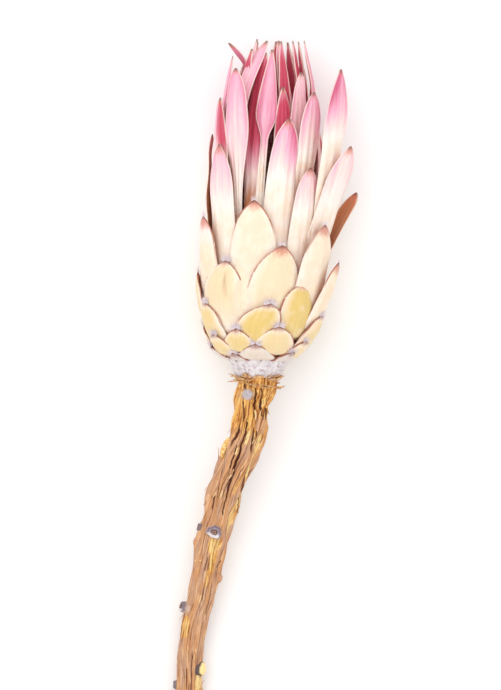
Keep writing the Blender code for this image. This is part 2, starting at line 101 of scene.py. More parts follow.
# Nothing reaches closer to the ground than this.
LOWEST_POINT = 0.05

# Seeds of everything that is drawn at random.
BRACT_SEED, FLORET_SEED, SCALE_SEED, COLLAR_SEED = 100, 3, 700, 21
TUFT_SEED, CLEFT_SEED, BUD_SEED, SPLINTER_SEED = 22, 11, 31, 5

# Outline of the closed head: height, radius.
HEAD_PROFILE = (
    (3, 8.6), (5, 11.4), (6.5, 13.3), (9, 15.9), (12, 17.8), (17, 19.8), (23, 21.1),
    (30, 21.7), (44, 21.6), (60, 21.0), (75, 20.0), (90, 18.4), (102, 16.6), (118, 13.6),
)
# By place in the spiral: where a bract's tip comes, where its root sits, how deep it lies
# under its outer neighbours at most and at least, and how far its tip leans in.
TIP_HEIGHTS = (
    (-8, 5.5), (0, 11), (5, 15.5), (10, 20.5), (18, 33), (26, 46), (32, 58), (37, 74),
    (45, 94), (50, 104), (57, 110), (74, 115),
)
ROOT_HEIGHTS = ((-5, 4.7), (0, 5.0), (10, 7.4), (30, 14), (50, 26), (60, 38), (74, 39))
ROOT_RADII = ((-5, 6.2), (0, 6.8), (10, 9.0), (30, 13), (50, 15.6), (60, 14.6), (74, 11.0))
LAYER_DEPTHS = ((-5, 2.0), (10, 3.2), (30, 4.6), (50, 5.2), (74, 9.5))
INNER_LAYERS = ((44, 0.0), (52, 1.2), (60, 3.2), (74, 5.6))
LEANS = ((44, 0.0), (52, 2.0), (60, 5.0), (74, 9.5))
# By the height of its tip: half width, how long its shoulders take to widen, and the
# length of its bend. The innermost bracts have their shoulders by place.
HALF_WIDTHS = (
    (5, 4.6), (11, 6.8), (17, 7.5), (30, 8.2), (45, 9.0), (58, 8.2), (70, 6.0),
    (85, 5.1), (104, 4.4), (110, 3.4), (116, 2.6),
)
SHOULDERS = (
    (5, 2.0), (11, 2.4), (26, 2.6), (33, 3.4), (45, 6.0), (60, 6.2), (74, 4.8), (116, 4.4),
)
TIP_BENDS = ((5, 5), (30, 16), (60, 30), (85, 46), (116, 64))
INNER_SHOULDERS = ((54, 5.0), (58, 9.0))
# By place again: how far a bract's face swells, over what length below its tip, how far
# its margins ripple, how deep the folds along it are, how golden its middle is, how far
# its dried brown tip reaches, and how far the brown lines run down its margins.
PILLOWS = ((-5, 0.4), (2, 0.8), (12, 0.95), (26, 0.75), (37, 0.45), (50, 0.3), (74, 0.1))
SHOWN_LENGTHS = ((-5, 6), (2, 10), (10, 14), (18, 20), (26, 26), (37, 40), (50, 55), (74, 60))
RIPPLES = ((0, 0.12), (26, 0.16), (37, 0.3), (50, 0.45), (74, 0.6))
FOLDS = ((0, 0.03), (26, 0.05), (37, 0.12), (50, 0.22), (74, 0.25))
GOLDS = (
    (-5, 0.2), (0, 0.3), (3, 0.75), (5, 0.66), (8, 0.82), (10, 0.7), (13, 0.95), (16, 0.5),
    (18, 0.95), (21, 0.2), (26, 0.4), (32, 0.16), (40, 0),
)
SCORCHES = (
    (-5, 0.4), (0, 0.4), (10, 0.6), (18, 1.4), (26, 4.2), (37, 2.6), (52, 1.8), (74, 1.2),
)
MARGIN_LINES = ((-5, 7), (10, 11), (18, 16), (26, 15), (37, 9), (50, 6), (74, 4))
# How many ripples run down a margin, and how many folds lie across half a bract. Below 1,
# the power moves the swelling's top towards the tip.
RIPPLE_WAVES, FOLD_WAVES, SWELL_POWER = (1.6, 3.4), (1.3, 2.2), 0.8
# Where the gold starts and is full below a tip, then as shares of the shown length where
# it fades further down, and as shares of the half width where it fades sideways.
GOLD_TIP, GOLD_FOOT, GOLD_SIDES = (0.2, 3.2), (0.6, 1.5), (0.45, 1.05)

# Bracts given one by one, because they show from above or the head rests on them. None or 0
# leaves a value to the tables above.
Seen = namedtuple(
    "Seen",
    "azimuth tip_height tip_radius half_width shoulder bend sway twist inner",
    defaults=5 * (0,),
)
SEEN_BRACTS = {
    0: Seen(-4, 10.9, None, 10.8, shoulder=4.0),
    2: Seen(61, 12.8, 18.6, 7.2),
    5: Seen(19.5, 17.2, None, 9.4, shoulder=3.2),
    8: Seen(-23.5, 16.0, None, 8.5, shoulder=3.8, sway=1),
    10: Seen(72, 21.6, 22.4, 7.4, bend=14),
    11: Seen(-65, 24.2, 20.8, 7.8),
    13: Seen(9, 24.8, None, 8.3, sway=13),
    15: Seen(96, 28.0, None, 7.4),
    16: Seen(-36.5, 38.8, 20.8, 12.0, shoulder=5.6, sway=12),
    17: Seen(178, 31.4, 20.8, 8.2),
    18: Seen(39.5, 32.2, None, 8.8, sway=-3),
    21: Seen(-10, 59.7, None, 9.1, shoulder=6.6),
    22: Seen(203, 39.5, 23.5, 8.4),
    23: Seen(71, 39.8, 27.4, 6.9, bend=34),
    24: Seen(-66, 53.5, 22.8, 7.0, shoulder=4),
    25: Seen(158, 44.4, 23.4, 8.6),
    26: Seen(17.5, 44.8, None, 10.4, sway=6),
    29: Seen(-25, 46.0, 17.6, 6.0),
    31: Seen(55.5, 52.4, 25.2, 9.4, bend=50),
    32: Seen(-95, 52.0, 20.8, 7.4),
    34: Seen(8, 47.0, 19.2, 5.0),
    36: Seen(100, 63.8, 31.4, 6.0, shoulder=4.0, twist=34),
    37: Seen(-52, 78.2, 21.0, 6.1, shoulder=5.4, sway=-6),
    39: Seen(42, 71.6, 22.3, 6.2),
    42: Seen(-38, 114.0, 3.1, 3.0, shoulder=3.4, bend=25),
    44: Seen(65.5, 79.4, 31.0, 7.6, shoulder=7.4, bend=50, twist=-24),
    45: Seen(-70, 94.0, 18.0, 5.2, sway=-16),
    47: Seen(21, 87.8, 19.2, 5.3, shoulder=5.0, sway=8),
    49: Seen(101, 100.0, 14.0, 4.6),
    50: Seen(-40, 104.2, 18.8, 4.9, shoulder=4.6, sway=-8),
    52: Seen(46, 97.2, 20.7, 4.9),
    53: Seen(-85, 108.3, 13.4, 4.2),
    55: Seen(0, 111.0, 7.6, 5.7, shoulder=21, sway=7),
    57: Seen(60.5, 105.4, 27.2, 6.0, shoulder=8.4, bend=135, twist=-14),
    58: Seen(-50, 111.0, 9.0, 3.4),
    59: Seen(22, 98.5, 11.5, 4.2),
    60: Seen(38, 114.2, 3.4, 3.0, shoulder=5.0, bend=75),
    61: Seen(-112, 106.5, 10.0, 2.8),
    62: Seen(105, 114.2, 9.2, 2.8),
    63: Seen(-78, 112.6, 15.2, 2.8, shoulder=3.0, bend=12, twist=40, inner=8.6),
    64: Seen(-20, 110.0, 6.4, 4.2),
    65: Seen(80, 114.6, 11.0, 3.4, bend=30, inner=1.8),
    66: Seen(-80, 107.0, 8.5, 2.4),
    67: Seen(135, 113.8, 7.4, 2.8),
    68: Seen(43, 103.7, 15.0, 3.8, shoulder=5),
    70: Seen(70, 114.3, 7.4, 2.6),
    71: Seen(-62, 114.4, 6.0, 2.4),
    72: Seen(172, 114.0, 9.0, 2.8),
    73: Seen(30, 114.0, 5.8, 2.4),
    74: Seen(-100, 108.0, 6.5, 2.4),
}
# Bracts with a long narrow claw: the height where it ends, the height where the blade is
# widest, and the claw's half width.
Claw = namedtuple("Claw", "top widest half_width")
CLAWS = {50: Claw(57.0, 88.0, 1.3), 55: Claw(80.0, 90.0, 1.3)}
# The one bract with a short dry crease. As shares of its half width: where the crease lies
# across it, how that shifts with each millimetre down, and how wide the crease is. Then how
# far below the tip it starts, how long it is and how deep.
CREASED = 16
CREASE_PLACE, CREASE_SHIFT, CREASE_WIDTH = 0.3, 0.012, 0.06
CREASE_TOP, CREASE_LENGTH, CREASE_DEPTH = 3.0, 10.0, 0.6

# Blush of the bracts: heights where it starts and is full, and how strong it gets there.
# By place for the rest: where it starts and how strong it gets, and over what height.
Blush = namedtuple("Blush", "start full most")
BLUSHES = {
    21: Blush(54, 62, 0.10),
    24: Blush(36, 58, 0.40),
    36: Blush(50, 66, 0.15),
    37: Blush(46, 76, 0.56),
    39: Blush(48, 68, 0.42),
    42: Blush(60, 90, 0.55),
    44: Blush(48, 74, 0.38),
    45: Blush(62, 92, 0.72),
    47: Blush(56, 86, 0.60),
    50: Blush(40, 108, 0.72),
    52: Blush(68, 94, 0.66),
    53: Blush(60, 90, 0.7),
    55: Blush(68, 84, 0.74),
    57: Blush(72, 106, 0.84),
    58: Blush(60, 90, 1.0),
    60: Blush(60, 90, 0.55),
    63: Blush(60, 92, 0.95),
    65: Blush(60, 92, 0.66),
    68: Blush(60, 80, 0.50),
    71: Blush(60, 80, 0.50),
}
BLUSH_STARTS = ((16, 60), (37, 62), (50, 60), (57, 55), (74, 50))
BLUSH_STRENGTHS = ((20, 0.0), (37, 0.4), (50, 0.7), (57, 0.8), (74, 0.8))
BLUSH_RISE = 34
# How much deeper a blush gets at the margins than along the middle.
MARGIN_BLUSHES = ((24, 0.0), (37, 0.16), (44, 0.22), (50, 0.42), (74, 0.4))
# How crimson bracts are high in the head, with one share for the other innermost ones, the
# heights where that starts and is full, and the stretch below a tip that is paler.
CRIMSONS = {
    42: 0.06, 55: 0.0, 57: 0.0, 58: 1.0, 59: 1.0, 60: 0.05, 63: 0.45, 64: 1.0, 65: 0.3,
    68: 0.0, 71: 0.1,
}
INNER_CRIMSON = 0.85
CRIMSON_HEIGHTS = (62, 92)
PALER_TIP = (1.0, 9.0)
# How amber a bract is low down: the innermost ones fully and the others not, but for these.
# It is gone above the first height and full below the second.
AMBERS = {42: 0.5, 55: 0.0, 57: 0.0}
AMBER_FADE = (84, 62)
# Heights between which the inner faces turn from amber to crimson.
INNER_TURN = (60, 96)
# Bracts with more crimson or pink along one side: how much, on which side, and how far
# below the tip that is full and ends. The crimson side, strongest on bract 45, is painted
# shade of the side turned from the light; the pink side is blush.
SideBlush = namedtuple("SideBlush", "crimson pink side")
SIDE_BLUSHES_AND_SHADE = {
    45: SideBlush(1.1, 0.1, 1), 47: SideBlush(0.0, 0.35, 1), 57: SideBlush(0.06, 0.3, -1),
}
SIDE_BLUSH_FULL, SIDE_BLUSH_END = 8, 26

# The receptacle, and the well in it that the florets stand in: height, radius.
RECEPTACLE = (
    (24.0, 0.0), (24.0, 8.8), (42.0, 8.8), (42.0, 16.2), (36.0, 17.2), (28.0, 17.6),
    (20.0, 16.6), (13.0, 14.3), (8.0, 11.6), (5.8, 9.2), (4.2, 6.6), (0.0, 6.0), (0.0, 0.0),
)
RECEPTACLE_SIDES = 96

# The florets: a smooth core, and a cone of them packed by the same spiral.
FLORET_CONE = ((78.0, 1.2), (62.0, 5.0), (44.0, 8.1), (24.3, 8.3))
FLORETS = 130
LOWEST_FLORET, HIGHEST_FLORET, FLORET_CROWDING = 40.0, 76.0, 0.8
LOWEST_LENGTH, HIGHEST_LENGTH = 17.0, 9.0
FLORET_RADIUS, FLORET_TIP_RADIUS, FLORET_LEAN = 0.55, 0.28, 0.6
CORE_SIDES, FLORET_RINGS, FLORET_SIDES = 48, 9, 7

# The ring of woolly scales round the neck: height of each row's root and tip, with the
# radius there, and how many scales it has.
ScaleRow = namedtuple("ScaleRow", "scales root_height root_radius tip_height tip_radius")
SCALE_ROWS = (
    ScaleRow(11, -0.4, 6.6, 2.8, 8.2),
    ScaleRow(12, 0.8, 6.9, 4.4, 8.9),
    ScaleRow(13, 2.2, 7.2, 6.0, 10.2),
)
SCALE_HALF_WIDTH, SCALE_THICKNESS, SCALE_STAGGER = 2.9, 0.45, 0.37
SCALE_CELLS = (10, 12)
# How far a scale bulges and curves round, how deep its wrinkles and its ragged end are, and
# how much scales differ in turn and in height.
SCALE_BULGE, SCALE_CURVE, SCALE_WRINKLES, SCALE_RAGGEDNESS = 0.5, 11, 0.09, 0.35
SCALE_TURNS, SCALE_HEIGHTS = (-0.08, 0.08), (0.94, 1.05)

# Hairs: the rings and sides of one and how much thinner it ends, how many grow on the
# florets, on the collar and on a woolly bud, and how long those of the florets and the bud
# are. The collar's stand on its outline: height, radius.
HAIR_RINGS, HAIR_SIDES, HAIR_TAPER = 4, 3, 0.85
FLORET_HAIRS, COLLAR_HAIRS, BUD_HAIRS = 1400, 1700, 420
FLORET_HAIR_LENGTHS, BUD_HAIR_LENGTHS = (1.5, 3.0), (0.5, 1.3)
COLLAR_HEIGHTS = (-0.8, 7.2)
COLLAR_PROFILE = ((-1.0, 7.2), (0.5, 7.7), (2.5, 8.1), (4.5, 8.8), (7.5, 11.4))
# Tufts on the points of bracts: which bracts have them, from which place they are thin, how
# many hairs a full and a thin one have, how far below the point they start, and how much
# coarser they are than other hairs.
TUFTED, THIN_TUFTS_FROM = range(-5, 32), 19
FULL_TUFT, THIN_TUFT = 240, 40
TUFT_SPREAD, TUFT_COARSENESS = 0.45, 2.2
# The way such a hair points: out from the bract's middle, up the head, and at random. It
# then lifts off the bracts behind by a little, after most of its rise is taken away.
TUFT_OUT, TUFT_UP, TUFT_MUSS = 0.5, 0.6, 0.45
TUFT_LIFT, TUFT_FLATNESS = 0.2, 0.75

# The stem's middle line, from the head down: x, y, height above the ground, radius.
STEM_COURSE = (
    (-2.62, 3.2, 20.9, 8.6),
    (-2.66, 2.3, 20.9, 8.7),
    (-2.8, 0.6, 20.85, 7.1),
    (-3.3, -1.6, 20.7, 6.0),
    (-4.2, -5.0, 20.2, 5.5),
    (-5.0, -12.5, 19.1, 5.4),
    (-7.2, -20.5, 17.8, 5.6),
    (-10.8, -29.0, 16.1, 5.4),
    (-14.0, -37.5, 14.3, 5.5),
    (-16.4, -47.0, 12.4, 5.2),
    (-18.8, -56.5, 10.6, 5.2),
    (-20.6, -66.5, 8.8, 4.7),
    (-22.0, -73.5, 7.6, 4.4),
    (-23.7, -79.0, 6.9, 4.3),
    (-25.2, -88.0, 5.8, 4.2),
    (-25.6, -97.0, 5.0, 4.3),
    (-26.0, -107.0, 4.4, 4.3),
    (-26.4, -118.7, 4.02, 4.2),
)
STEPS_PER_SPAN = 12
STEM_SIDES, STEM_RINGS, CAP_RINGS = 150, 520, 14
# Furrows of the bark: how deep they are by place along Y, how many go round and how they
# twist, then the finer ones between them, and how both wander: by how many degrees, and
# the stretch along Y in which that swings through one radian.
FURROW_DEPTHS = ((-121, 0.15), (-60, 0.3), (-45, 0.65), (-4, 0.85), (1, 0.3))
FURROWS, FURROW_TWIST = 5, 0.06
FINE_FURROWS, FINE_TWIST, FINE_SHARE = 9, -0.17, 0.45
LONG_WANDER, SHORT_WANDER = (40, 9.0), (23, 3.7)
# Relief of the torn fibres and of the skin, and the thickness of the skin that is gone.
FIBRE_RELIEF, SKIN_RELIEF, PEEL_DEPTH = 0.09, 0.04, 0.22

# Clefts in the bark that show from above: points as (x, y), half width and depth.
Cleft = namedtuple("Cleft", "path half_width depth")
SEEN_CLEFTS = (
    Cleft(((-8.4, -7.0), (-8.8, -11.0), (-9.8, -17.0), (-11.2, -20.8)), 0.5, 1.1),
    Cleft(((-9.8, -19.6), (-10.6, -23.6), (-11.6, -28.4)), 0.3, 0.7),
    Cleft(((-5.6, -10.8), (-6.4, -14.5), (-7.8, -19.0), (-9.2, -24.1), (-10.6, -29.6)), 0.5, 1.2),
    Cleft(((-8.9, -21.6), (-10.6, -28.0), (-12.4, -35.0), (-14.4, -43.5)), 0.34, 0.9),
    Cleft(((-3.4, -12.6), (-3.9, -16.5), (-4.6, -21.0)), 0.42, 1.1),
    Cleft(((-2.2, -13.8), (-2.7, -17.2)), 0.4, 0.9),
    Cleft(((-3.4, -23.6), (-6.0, -29.3), (-8.1, -34.6), (-10.0, -43.5)), 0.32, 0.8),
    Cleft(((-5.0, -24.0), (-7.4, -31.0), (-9.4, -38.0)), 0.22, 0.5),
    Cleft(((-1.0, 0.6), (-1.2, -4.0), (-1.0, -9.6)), 0.4, 0.9),
    Cleft(((-3.3, 0.0), (-3.0, -4.0), (-3.8, -10.0)), 0.5, 1.0),
    Cleft(((-6.6, -4.4), (-7.2, -12.0)), 0.35, 0.7),
    Cleft(((-7.6, 1.0), (-7.0, -0.6), (-6.6, -2.4)), 0.5, 0.9),
    Cleft(((-0.2, -6.0), (-0.4, -10.6)), 0.3, 0.6),
    Cleft(((-14.4, -27.0), (-16.4, -34.0), (-18.4, -42.5)), 0.32, 0.7),
    Cleft(((-13.0, -25.0), (-14.8, -32.0), (-16.6, -40.0)), 0.2, 0.45),
    Cleft(((-14.6, -57.6), (-16.2, -61.0)), 0.2, 0.4),
    Cleft(((-19.0, -56.0), (-20.6, -63.0)), 0.18, 0.35),
    Cleft(((-20.3, -66.0), (-21.6, -73.2)), 0.18, 0.3),
    Cleft(((-17.6, -62.5), (-18.6, -70.5), (-20.4, -79.0)), 0.16, 0.28),
    Cleft(((-24.4, -87.6), (-25.0, -97.5), (-25.3, -108.0)), 0.2, 0.35),
    Cleft(((-26.6, -94.4), (-26.8, -104.0)), 0.2, 0.35),
    Cleft(((-22.8, -90.0), (-23.4, -99.0)), 0.16, 0.25),
)
# The clefts of the underside, and hairlines all round: how many, where their middles lie
# along Y, how far they reach either way, the turns that the underside spans, and the
# places between which they get coarser towards the head.
HIDDEN_CLEFTS, HAIRLINES, HAIRLINE_HALF_WIDTH = 30, 44, 0.17
CLEFT_MIDDLES, CLEFT_REACHES, UNDERSIDE_DEG = (-118, 0), (4, 12), (85, 275)
CLEFT_COARSENING = (-70, -20)

# Places where the outer bark is gone, seen from above: middle, half width, half length,
# and how pale and fresh the torn wood under it is.
Torn = namedtuple("Torn", "x y half_width half_length fresh")
SEEN_TEARS = (
    Torn(-16.8, -52.6, 2.3, 3.6, 0.6),
    Torn(-17.6, -58.4, 1.4, 4.6, 0.35),
    Torn(-19.6, -64.4, 0.5, 3.6, 0.4),
    Torn(-27.4, -82.2, 1.9, 3.6, 0.5),
    Torn(-22.6, -100.6, 1.6, 3.4, 0.8),
    Torn(-10.6, -42.0, 0.9, 9.0, 0.6),
    Torn(-7.4, -33.0, 1.0, 8.0, 0.75),
    Torn(-4.4, -24.0, 0.8, 5.0, 0.7),
    Torn(-5.7, -16.4, 0.5, 2.6, 1.0),
    Torn(-2.2, -19.0, 1.1, 4.6, 0.75),
    Torn(-14.6, -22.4, 1.6, 4.4, 0.6),
    Torn(-8.2, -30.5, 0.4, 5.0, 0.5),
)
# Tears of the underside: how many, and the spans of their turns, places, half widths, half
# lengths and freshness.
HIDDEN_TEARS = 9
TEAR_TURNS_DEG, TEAR_MIDDLES = (100, 260), (-112, -30)
TEAR_HALF_WIDTHS, TEAR_HALF_LENGTHS, TEAR_FRESHNESS = (0.8, 1.8), (2.5, 7), (0.2, 0.7)
# Places where the skin stayed on, and where along Y it ends on the whole.
SKIN_PATCHES = (
    Torn(-0.9, -12.0, 1.9, 2.8, 0),
    Torn(-3.4, -20.4, 0.8, 2.2, 0),
    Torn(-4.4, -20.0, 0.6, 1.6, 0),
)
PEEL_TOP, PEEL_FADE = -16.0, 13.0

# What stands out of the bark: place along Y, degrees round the stem from its top towards
# +X, then length, width, how far its middle lies inside the bark, and what it is.
Knot = namedtuple("Knot", "along around length width sunk kind")
KNOTS = (
    Knot(-2.6, -22, 3.6, 3.2, 0.2, "woolly"),
    Knot(-13.4, 90, 5.0, 3.0, 0.5, "swelling"),
    Knot(-23.0, -88, 8.0, 3.4, 0.2, "flap"),
    Knot(-34.0, 176, 5.6, 4.6, 1.4, "scar"),
    Knot(-48.6, -2, 5.2, 6.2, 1.8, "scar"),
    Knot(-49.3, -92, 3.0, 3.0, 0.4, "bud"),
    Knot(-54.0, -88, 4.0, 3.0, 0.4, "swelling"),
    Knot(-64.4, 90, 3.6, 3.0, 0.5, "swelling"),
    Knot(-76.6, -72, 4.6, 4.6, -0.4, "scar"),
    Knot(-86.0, 160, 4.6, 4.2, 1.2, "scar"),
    Knot(-96.0, 62, 5.4, 5.0, 0.9, "pale"),
    Knot(-101.8, -88, 3.2, 3.0, 0.3, "bud"),
)
KNOT_KINDS = ("scar", "bud", "swelling", "flap", "pale", "woolly")
KNOT_RINGS, KNOT_SPOKES = 30, 48
# Rings of a scar or a bud: how far each stands out, how far from the middle as a share of
# the way to the edge, and how wide it is. A scar is flatter than the other knots' domes,
# and its edge lies this far inside the bark.
Ring = namedtuple("Ring", "height reach width")
SCAR_RINGS = (Ring(0.4, 0.7, 0.1), Ring(-0.7, 0.46, 0.13), Ring(-0.3, 0.0, 0.16))
SCAR_FLATNESS, SCAR_EDGE = 0.85, 1.0

# Torn bark that flares round the stem's top, and the flakes of the stem, most of them on
# its torn upper part.
RIM_SPLINTERS, RIM_RADIUS, RIM_DROPS = 46, 6.6, (0.0, 3.0)
RIM_BLUNTNESS, FLAKE_BLUNTNESS = 5, 2.2
RIM_THICKNESS, FLAKE_THICKNESS = 0.45, 0.22
RIM_LENGTHS, RIM_WIDTHS, RIM_SIDE_LENGTH = (1.4, 2.4), (1.4, 3.2), 2.0
FLAKE_LENGTHS, FLAKE_WIDTHS = (1.2, 4.2), (0.35, 0.9)
STRIP_COLUMNS, STRIP_ROWS = 5, 12
FLAKES, UPPER_FLAKES = 70, 50
UPPER_BARK, LOWER_BARK = (-42, 0), (-110, -42)
# The bark itself narrows under its flaring splinters.
RIM_TAPER, RIM_TAPER_SPAN = 0.24, (-1.0, 2.6)

# The camera looks straight down at this point, and the picture is this high there. The
# sensor is as long as the picture is high.
VIEW_CENTRE = Vector((-4.912, 14.14, 21.0))
VIEW_HEIGHT = 234.6
SENSOR = 36.0
# The large soft light: where it hangs, its width, and the point it faces. The floor's side
# is a multiple of the part's longest.
KEY_PLACE, KEY_WIDTH = Vector((-140, 240, 900)), 900
KEY_AIM = Vector((0, 0, 20))
FLOOR_SPAN = 60

# Colour sockets of the mix node, by number, because their names repeat there.
MIX_FIRST, MIX_SECOND, MIX_RESULT = 6, 7, 2

Part = namedtuple("Part", "points faces fields")


def srgb(red, green, blue):
    """A colour given as it looks on a screen, 0 to 255, in Blender's linear values."""

    def linear(value):
        value /= 255
        return value / 12.92 if value <= 0.04045 else ((value + 0.055) / 1.055) ** 2.4

    return linear(red), linear(green), linear(blue)


def colour(name, description, default):
    return bpy.props.FloatVectorProperty(
        name=name, description=description, subtype="COLOR", size=3, min=0, max=1, default=default
    )


def length(name, description, default):
    return bpy.props.FloatProperty(
        name=name, description=description, subtype="DISTANCE", unit="LENGTH",
        min=0, precision=5, default=default,
    )


def share(name, description, default):
    return bpy.props.FloatProperty(
        name=name, description=description, subtype="FACTOR", min=0, max=1, default=default
    )


class ProteaBractSettings(bpy.types.PropertyGroup):
    """The bracts of the head."""

    thickness: length("Thickness", "Thickness of a bract along its middle", 0.0008)
    margin: length("Margin", "Thickness of a bract at its margins", 0.00022)
    cream: colour("Cream", "Ground colour of the outer faces", srgb(252, 228, 207))
    ivory: colour("Ivory", "Palest parts of the outer faces", srgb(255, 240, 226))
    gold: colour("Gold", "Middle of the lower bracts", srgb(228, 196, 112))
    rose: colour("Rose", "Where the blush begins", srgb(254, 224, 218))
    pink: colour("Pink", "Body of the upper bracts", srgb(247, 178, 200))
    magenta: colour("Magenta", "Deepest blush, at the upper tips", srgb(214, 96, 134))
    crimson: colour("Crimson", "Innermost bracts, high in the head", srgb(206, 72, 98))
    amber: colour("Amber", "Inner faces, low in the head", srgb(208, 132, 84))
    russet: colour("Russet", "Dried tips", srgb(206, 116, 92))
    lines: colour("Lines", "Lines along the margins", srgb(172, 96, 64))
    umber: colour("Umber", "The very tips", srgb(112, 62, 52))
    wool: colour("Wool", "Down on the lowest bracts", srgb(214, 204, 202))


class ProteaWoolSettings(bpy.types.PropertyGroup):
    """Hairs on the bract tips, the collar and the florets."""

    hair: length("Hair", "Thickness of one hair", 0.00007)
    collar: length("Collar hairs", "Length of the hairs on the collar", 0.0017)
    tuft: length("Tufts", "Length of the hairs on the bract tips", 0.0021)
    white: colour("White", "Hairs on the bract tips", srgb(252, 240, 244))
    grey: colour("Grey", "Scales and hairs of the collar", srgb(232, 224, 224))
    floret: colour("Floret", "Body of the florets", srgb(150, 64, 62))


class ProteaStemSettings(bpy.types.PropertyGroup):
    """The woody stem."""

    cleft_depth: share("Cleft depth", "How deep the clefts in the bark are", 1.0)
    skin: colour("Skin", "Outer bark", srgb(209, 149, 98))
    weathered: colour("Weathered", "Outer bark where it has weathered", srgb(194, 148, 118))
    ochre: colour("Ochre", "Fibrous bark under the skin", srgb(222, 158, 78))
    straw: colour("Straw", "Freshly torn wood", srgb(250, 222, 154))
    # The cleft colour is the painted shade inside the clefts.
    cleft: colour("Cleft", "Inside the clefts", srgb(92, 42, 18))
    scar: colour("Scar", "Rings of the leaf scars", srgb(126, 110, 122))
    pith: colour("Pith", "Middle of the cut end", srgb(150, 104, 70))


class ProteaStageSettings(bpy.types.PropertyGroup):
    """Floor, light and camera."""

    floor: colour("Floor", "Colour of the floor", (0.97, 0.97, 0.97))
    lens: bpy.props.FloatProperty(
        name="Lens", description="Focal length", subtype="DISTANCE_CAMERA", min=20, default=900
    )
    sky: bpy.props.FloatProperty(
        name="Sky", description="Strength of the light from all round", min=0, default=1.04
    )
    key: bpy.props.FloatProperty(
        name="Key light", description="Power of the large soft light", subtype="POWER",
        unit="POWER", min=0, default=2.3,
    )


def lookup(table, value):
    """The table's second column at value, in straight steps between its rows."""
    rows = np.array(sorted(table), float)
    return np.interp(value, rows[:, 0], rows[:, 1])


def smooth_step(value, low=0.0, high=1.0):
    """0 up to low, 1 from high on, and smooth between them."""
    passed = np.clip((value - low) / (high - low), 0.0, 1.0)
    return passed * passed * (3 - 2 * passed)


def mix(first, second, amount):
    """From first, at an amount of 0, to second, at 1."""
    return first + (second - first) * amount


def unit(vectors):
    """The same directions, each 1 long."""
    return vectors / np.maximum(np.linalg.norm(vectors, axis=-1, keepdims=True), 1e-9)


def head_axes():
    """Columns are the head's own X, Y and Z in the world."""
    yaw, pitch = math.radians(HEAD_YAW_DEG), math.radians(HEAD_PITCH_DEG)
    along = unit(np.array((math.sin(yaw), math.cos(yaw), math.tan(pitch))))
    side = unit(np.cross(along, UP))
    return np.stack((np.cross(side, along), side, along), axis=1)


HEAD_AXES = head_axes()


def from_head(points):
    """Points in the head's own frame, in the world, in millimetres."""
    return points @ HEAD_AXES.T + HEAD_BASE


def round_axis(outward, sideways, azimuth, height):
    """Points at an azimuth round the head's axis, turned from X towards Y."""
    cosine, sine = np.cos(azimuth), np.sin(azimuth)
    return np.stack(
        (
            outward * cosine - sideways * sine,
            outward * sine + sideways * cosine,
            height + 0 * outward,
        ),
        axis=-1,
    )


def sheet_normals(points):
    """Unit normals of a grid of points (rows, columns, 3), from its own slopes."""
    down, over = np.gradient(points, axis=0), np.gradient(points, axis=1)
    return unit(np.cross(over, down))


def grid_faces(rows, columns, closed=False):
    """Quads over a grid of vertices, round the columns too if it is closed."""
    numbers = np.arange(rows * columns).reshape(rows, columns)
    if closed:
        numbers = np.hstack((numbers, numbers[:, :1]))
    corners = (numbers[:-1, :-1], numbers[:-1, 1:], numbers[1:, 1:], numbers[1:, :-1])
    return np.stack(corners, axis=-1).reshape(-1, 4)


def rim_faces(rows, columns):
    """Quads that close the gap between a grid and its copy, along all four sides."""
    numbers = np.arange(rows * columns).reshape(rows, columns)
    edge = np.concatenate(
        (numbers[0], numbers[1:, -1], numbers[-1, -2::-1], numbers[-2:0:-1, 0])
    )
    after = np.roll(edge, -1)
    copy = rows * columns
    return np.stack((after, edge, edge + copy, after + copy), axis=-1)


def blade(face, thickness, fields, back_fields):
    """A closed blade: its face, and a back that lies its thickness behind."""
    rows, columns = face.shape[:2]
    back = face - sheet_normals(face) * thickness[..., None]
    front = grid_faces(rows, columns)
    faces = np.vstack((front, front[:, ::-1] + rows * columns, rim_faces(rows, columns)))
    points = np.vstack((face.reshape(-1, 3), back.reshape(-1, 3)))
    joined = {
        name: np.concatenate((flat(values), flat(back_fields.get(name, values))))
        for name, values in fields.items()
    }
    return Part(points, faces, joined)


def flat(values):
    """A grid of numbers or of vectors as one list of them."""
    return values.reshape(-1, 3) if values.ndim == 3 else values.reshape(-1)


def turned(rows, sides):
    """Points and faces of a body turned round the head's axis, from heights and radii."""
    heights, radii = np.array(rows).T
    turns = np.linspace(0, math.tau, sides, endpoint=False)
    points = from_head(round_axis(radii[:, None] + 0 * turns, 0, turns, heights[:, None]))
    return points.reshape(-1, 3), grid_faces(len(rows), sides, closed=True)[:, ::-1]


def tube_faces(count, rings, sides):
    """Quads over so many tubes, one after another."""
    one = grid_faces(rings, sides, closed=True)
    starts = np.arange(count) * rings * sides
    return (one[None] + starts[:, None, None]).reshape(-1, 4)


def hairs(roots, aims, lengths, thickness, droop, draw):
    """Fine tapering hairs from their roots, each bent a little its own way."""
    count = len(roots)
    aims = unit(aims)
    bends = draw.normal(0, 1, (count, 3)) * droop
    reach = np.linspace(0, 1, HAIR_RINGS)[None, :, None]
    lengths = np.broadcast_to(lengths, count)[:, None, None]
    spine = roots[:, None] + lengths * (aims[:, None] * reach + bends[:, None] * reach**2)
    side = unit(np.cross(aims, UP + draw.normal(0, 0.3, (count, 3))))
    other = np.cross(aims, side)
    turns = np.arange(HAIR_SIDES) * math.tau / HAIR_SIDES
    section = side[:, None] * np.cos(turns)[None, :, None]
    section = section + other[:, None] * np.sin(turns)[None, :, None]
    taper = thickness / 2 * (1 - HAIR_TAPER * np.linspace(0, 1, HAIR_RINGS) ** 2)
    points = spine[:, :, None] + section[:, None] * taper[None, :, None, None]
    return Part(points.reshape(-1, 3), tube_faces(count, HAIR_RINGS, HAIR_SIDES), {})


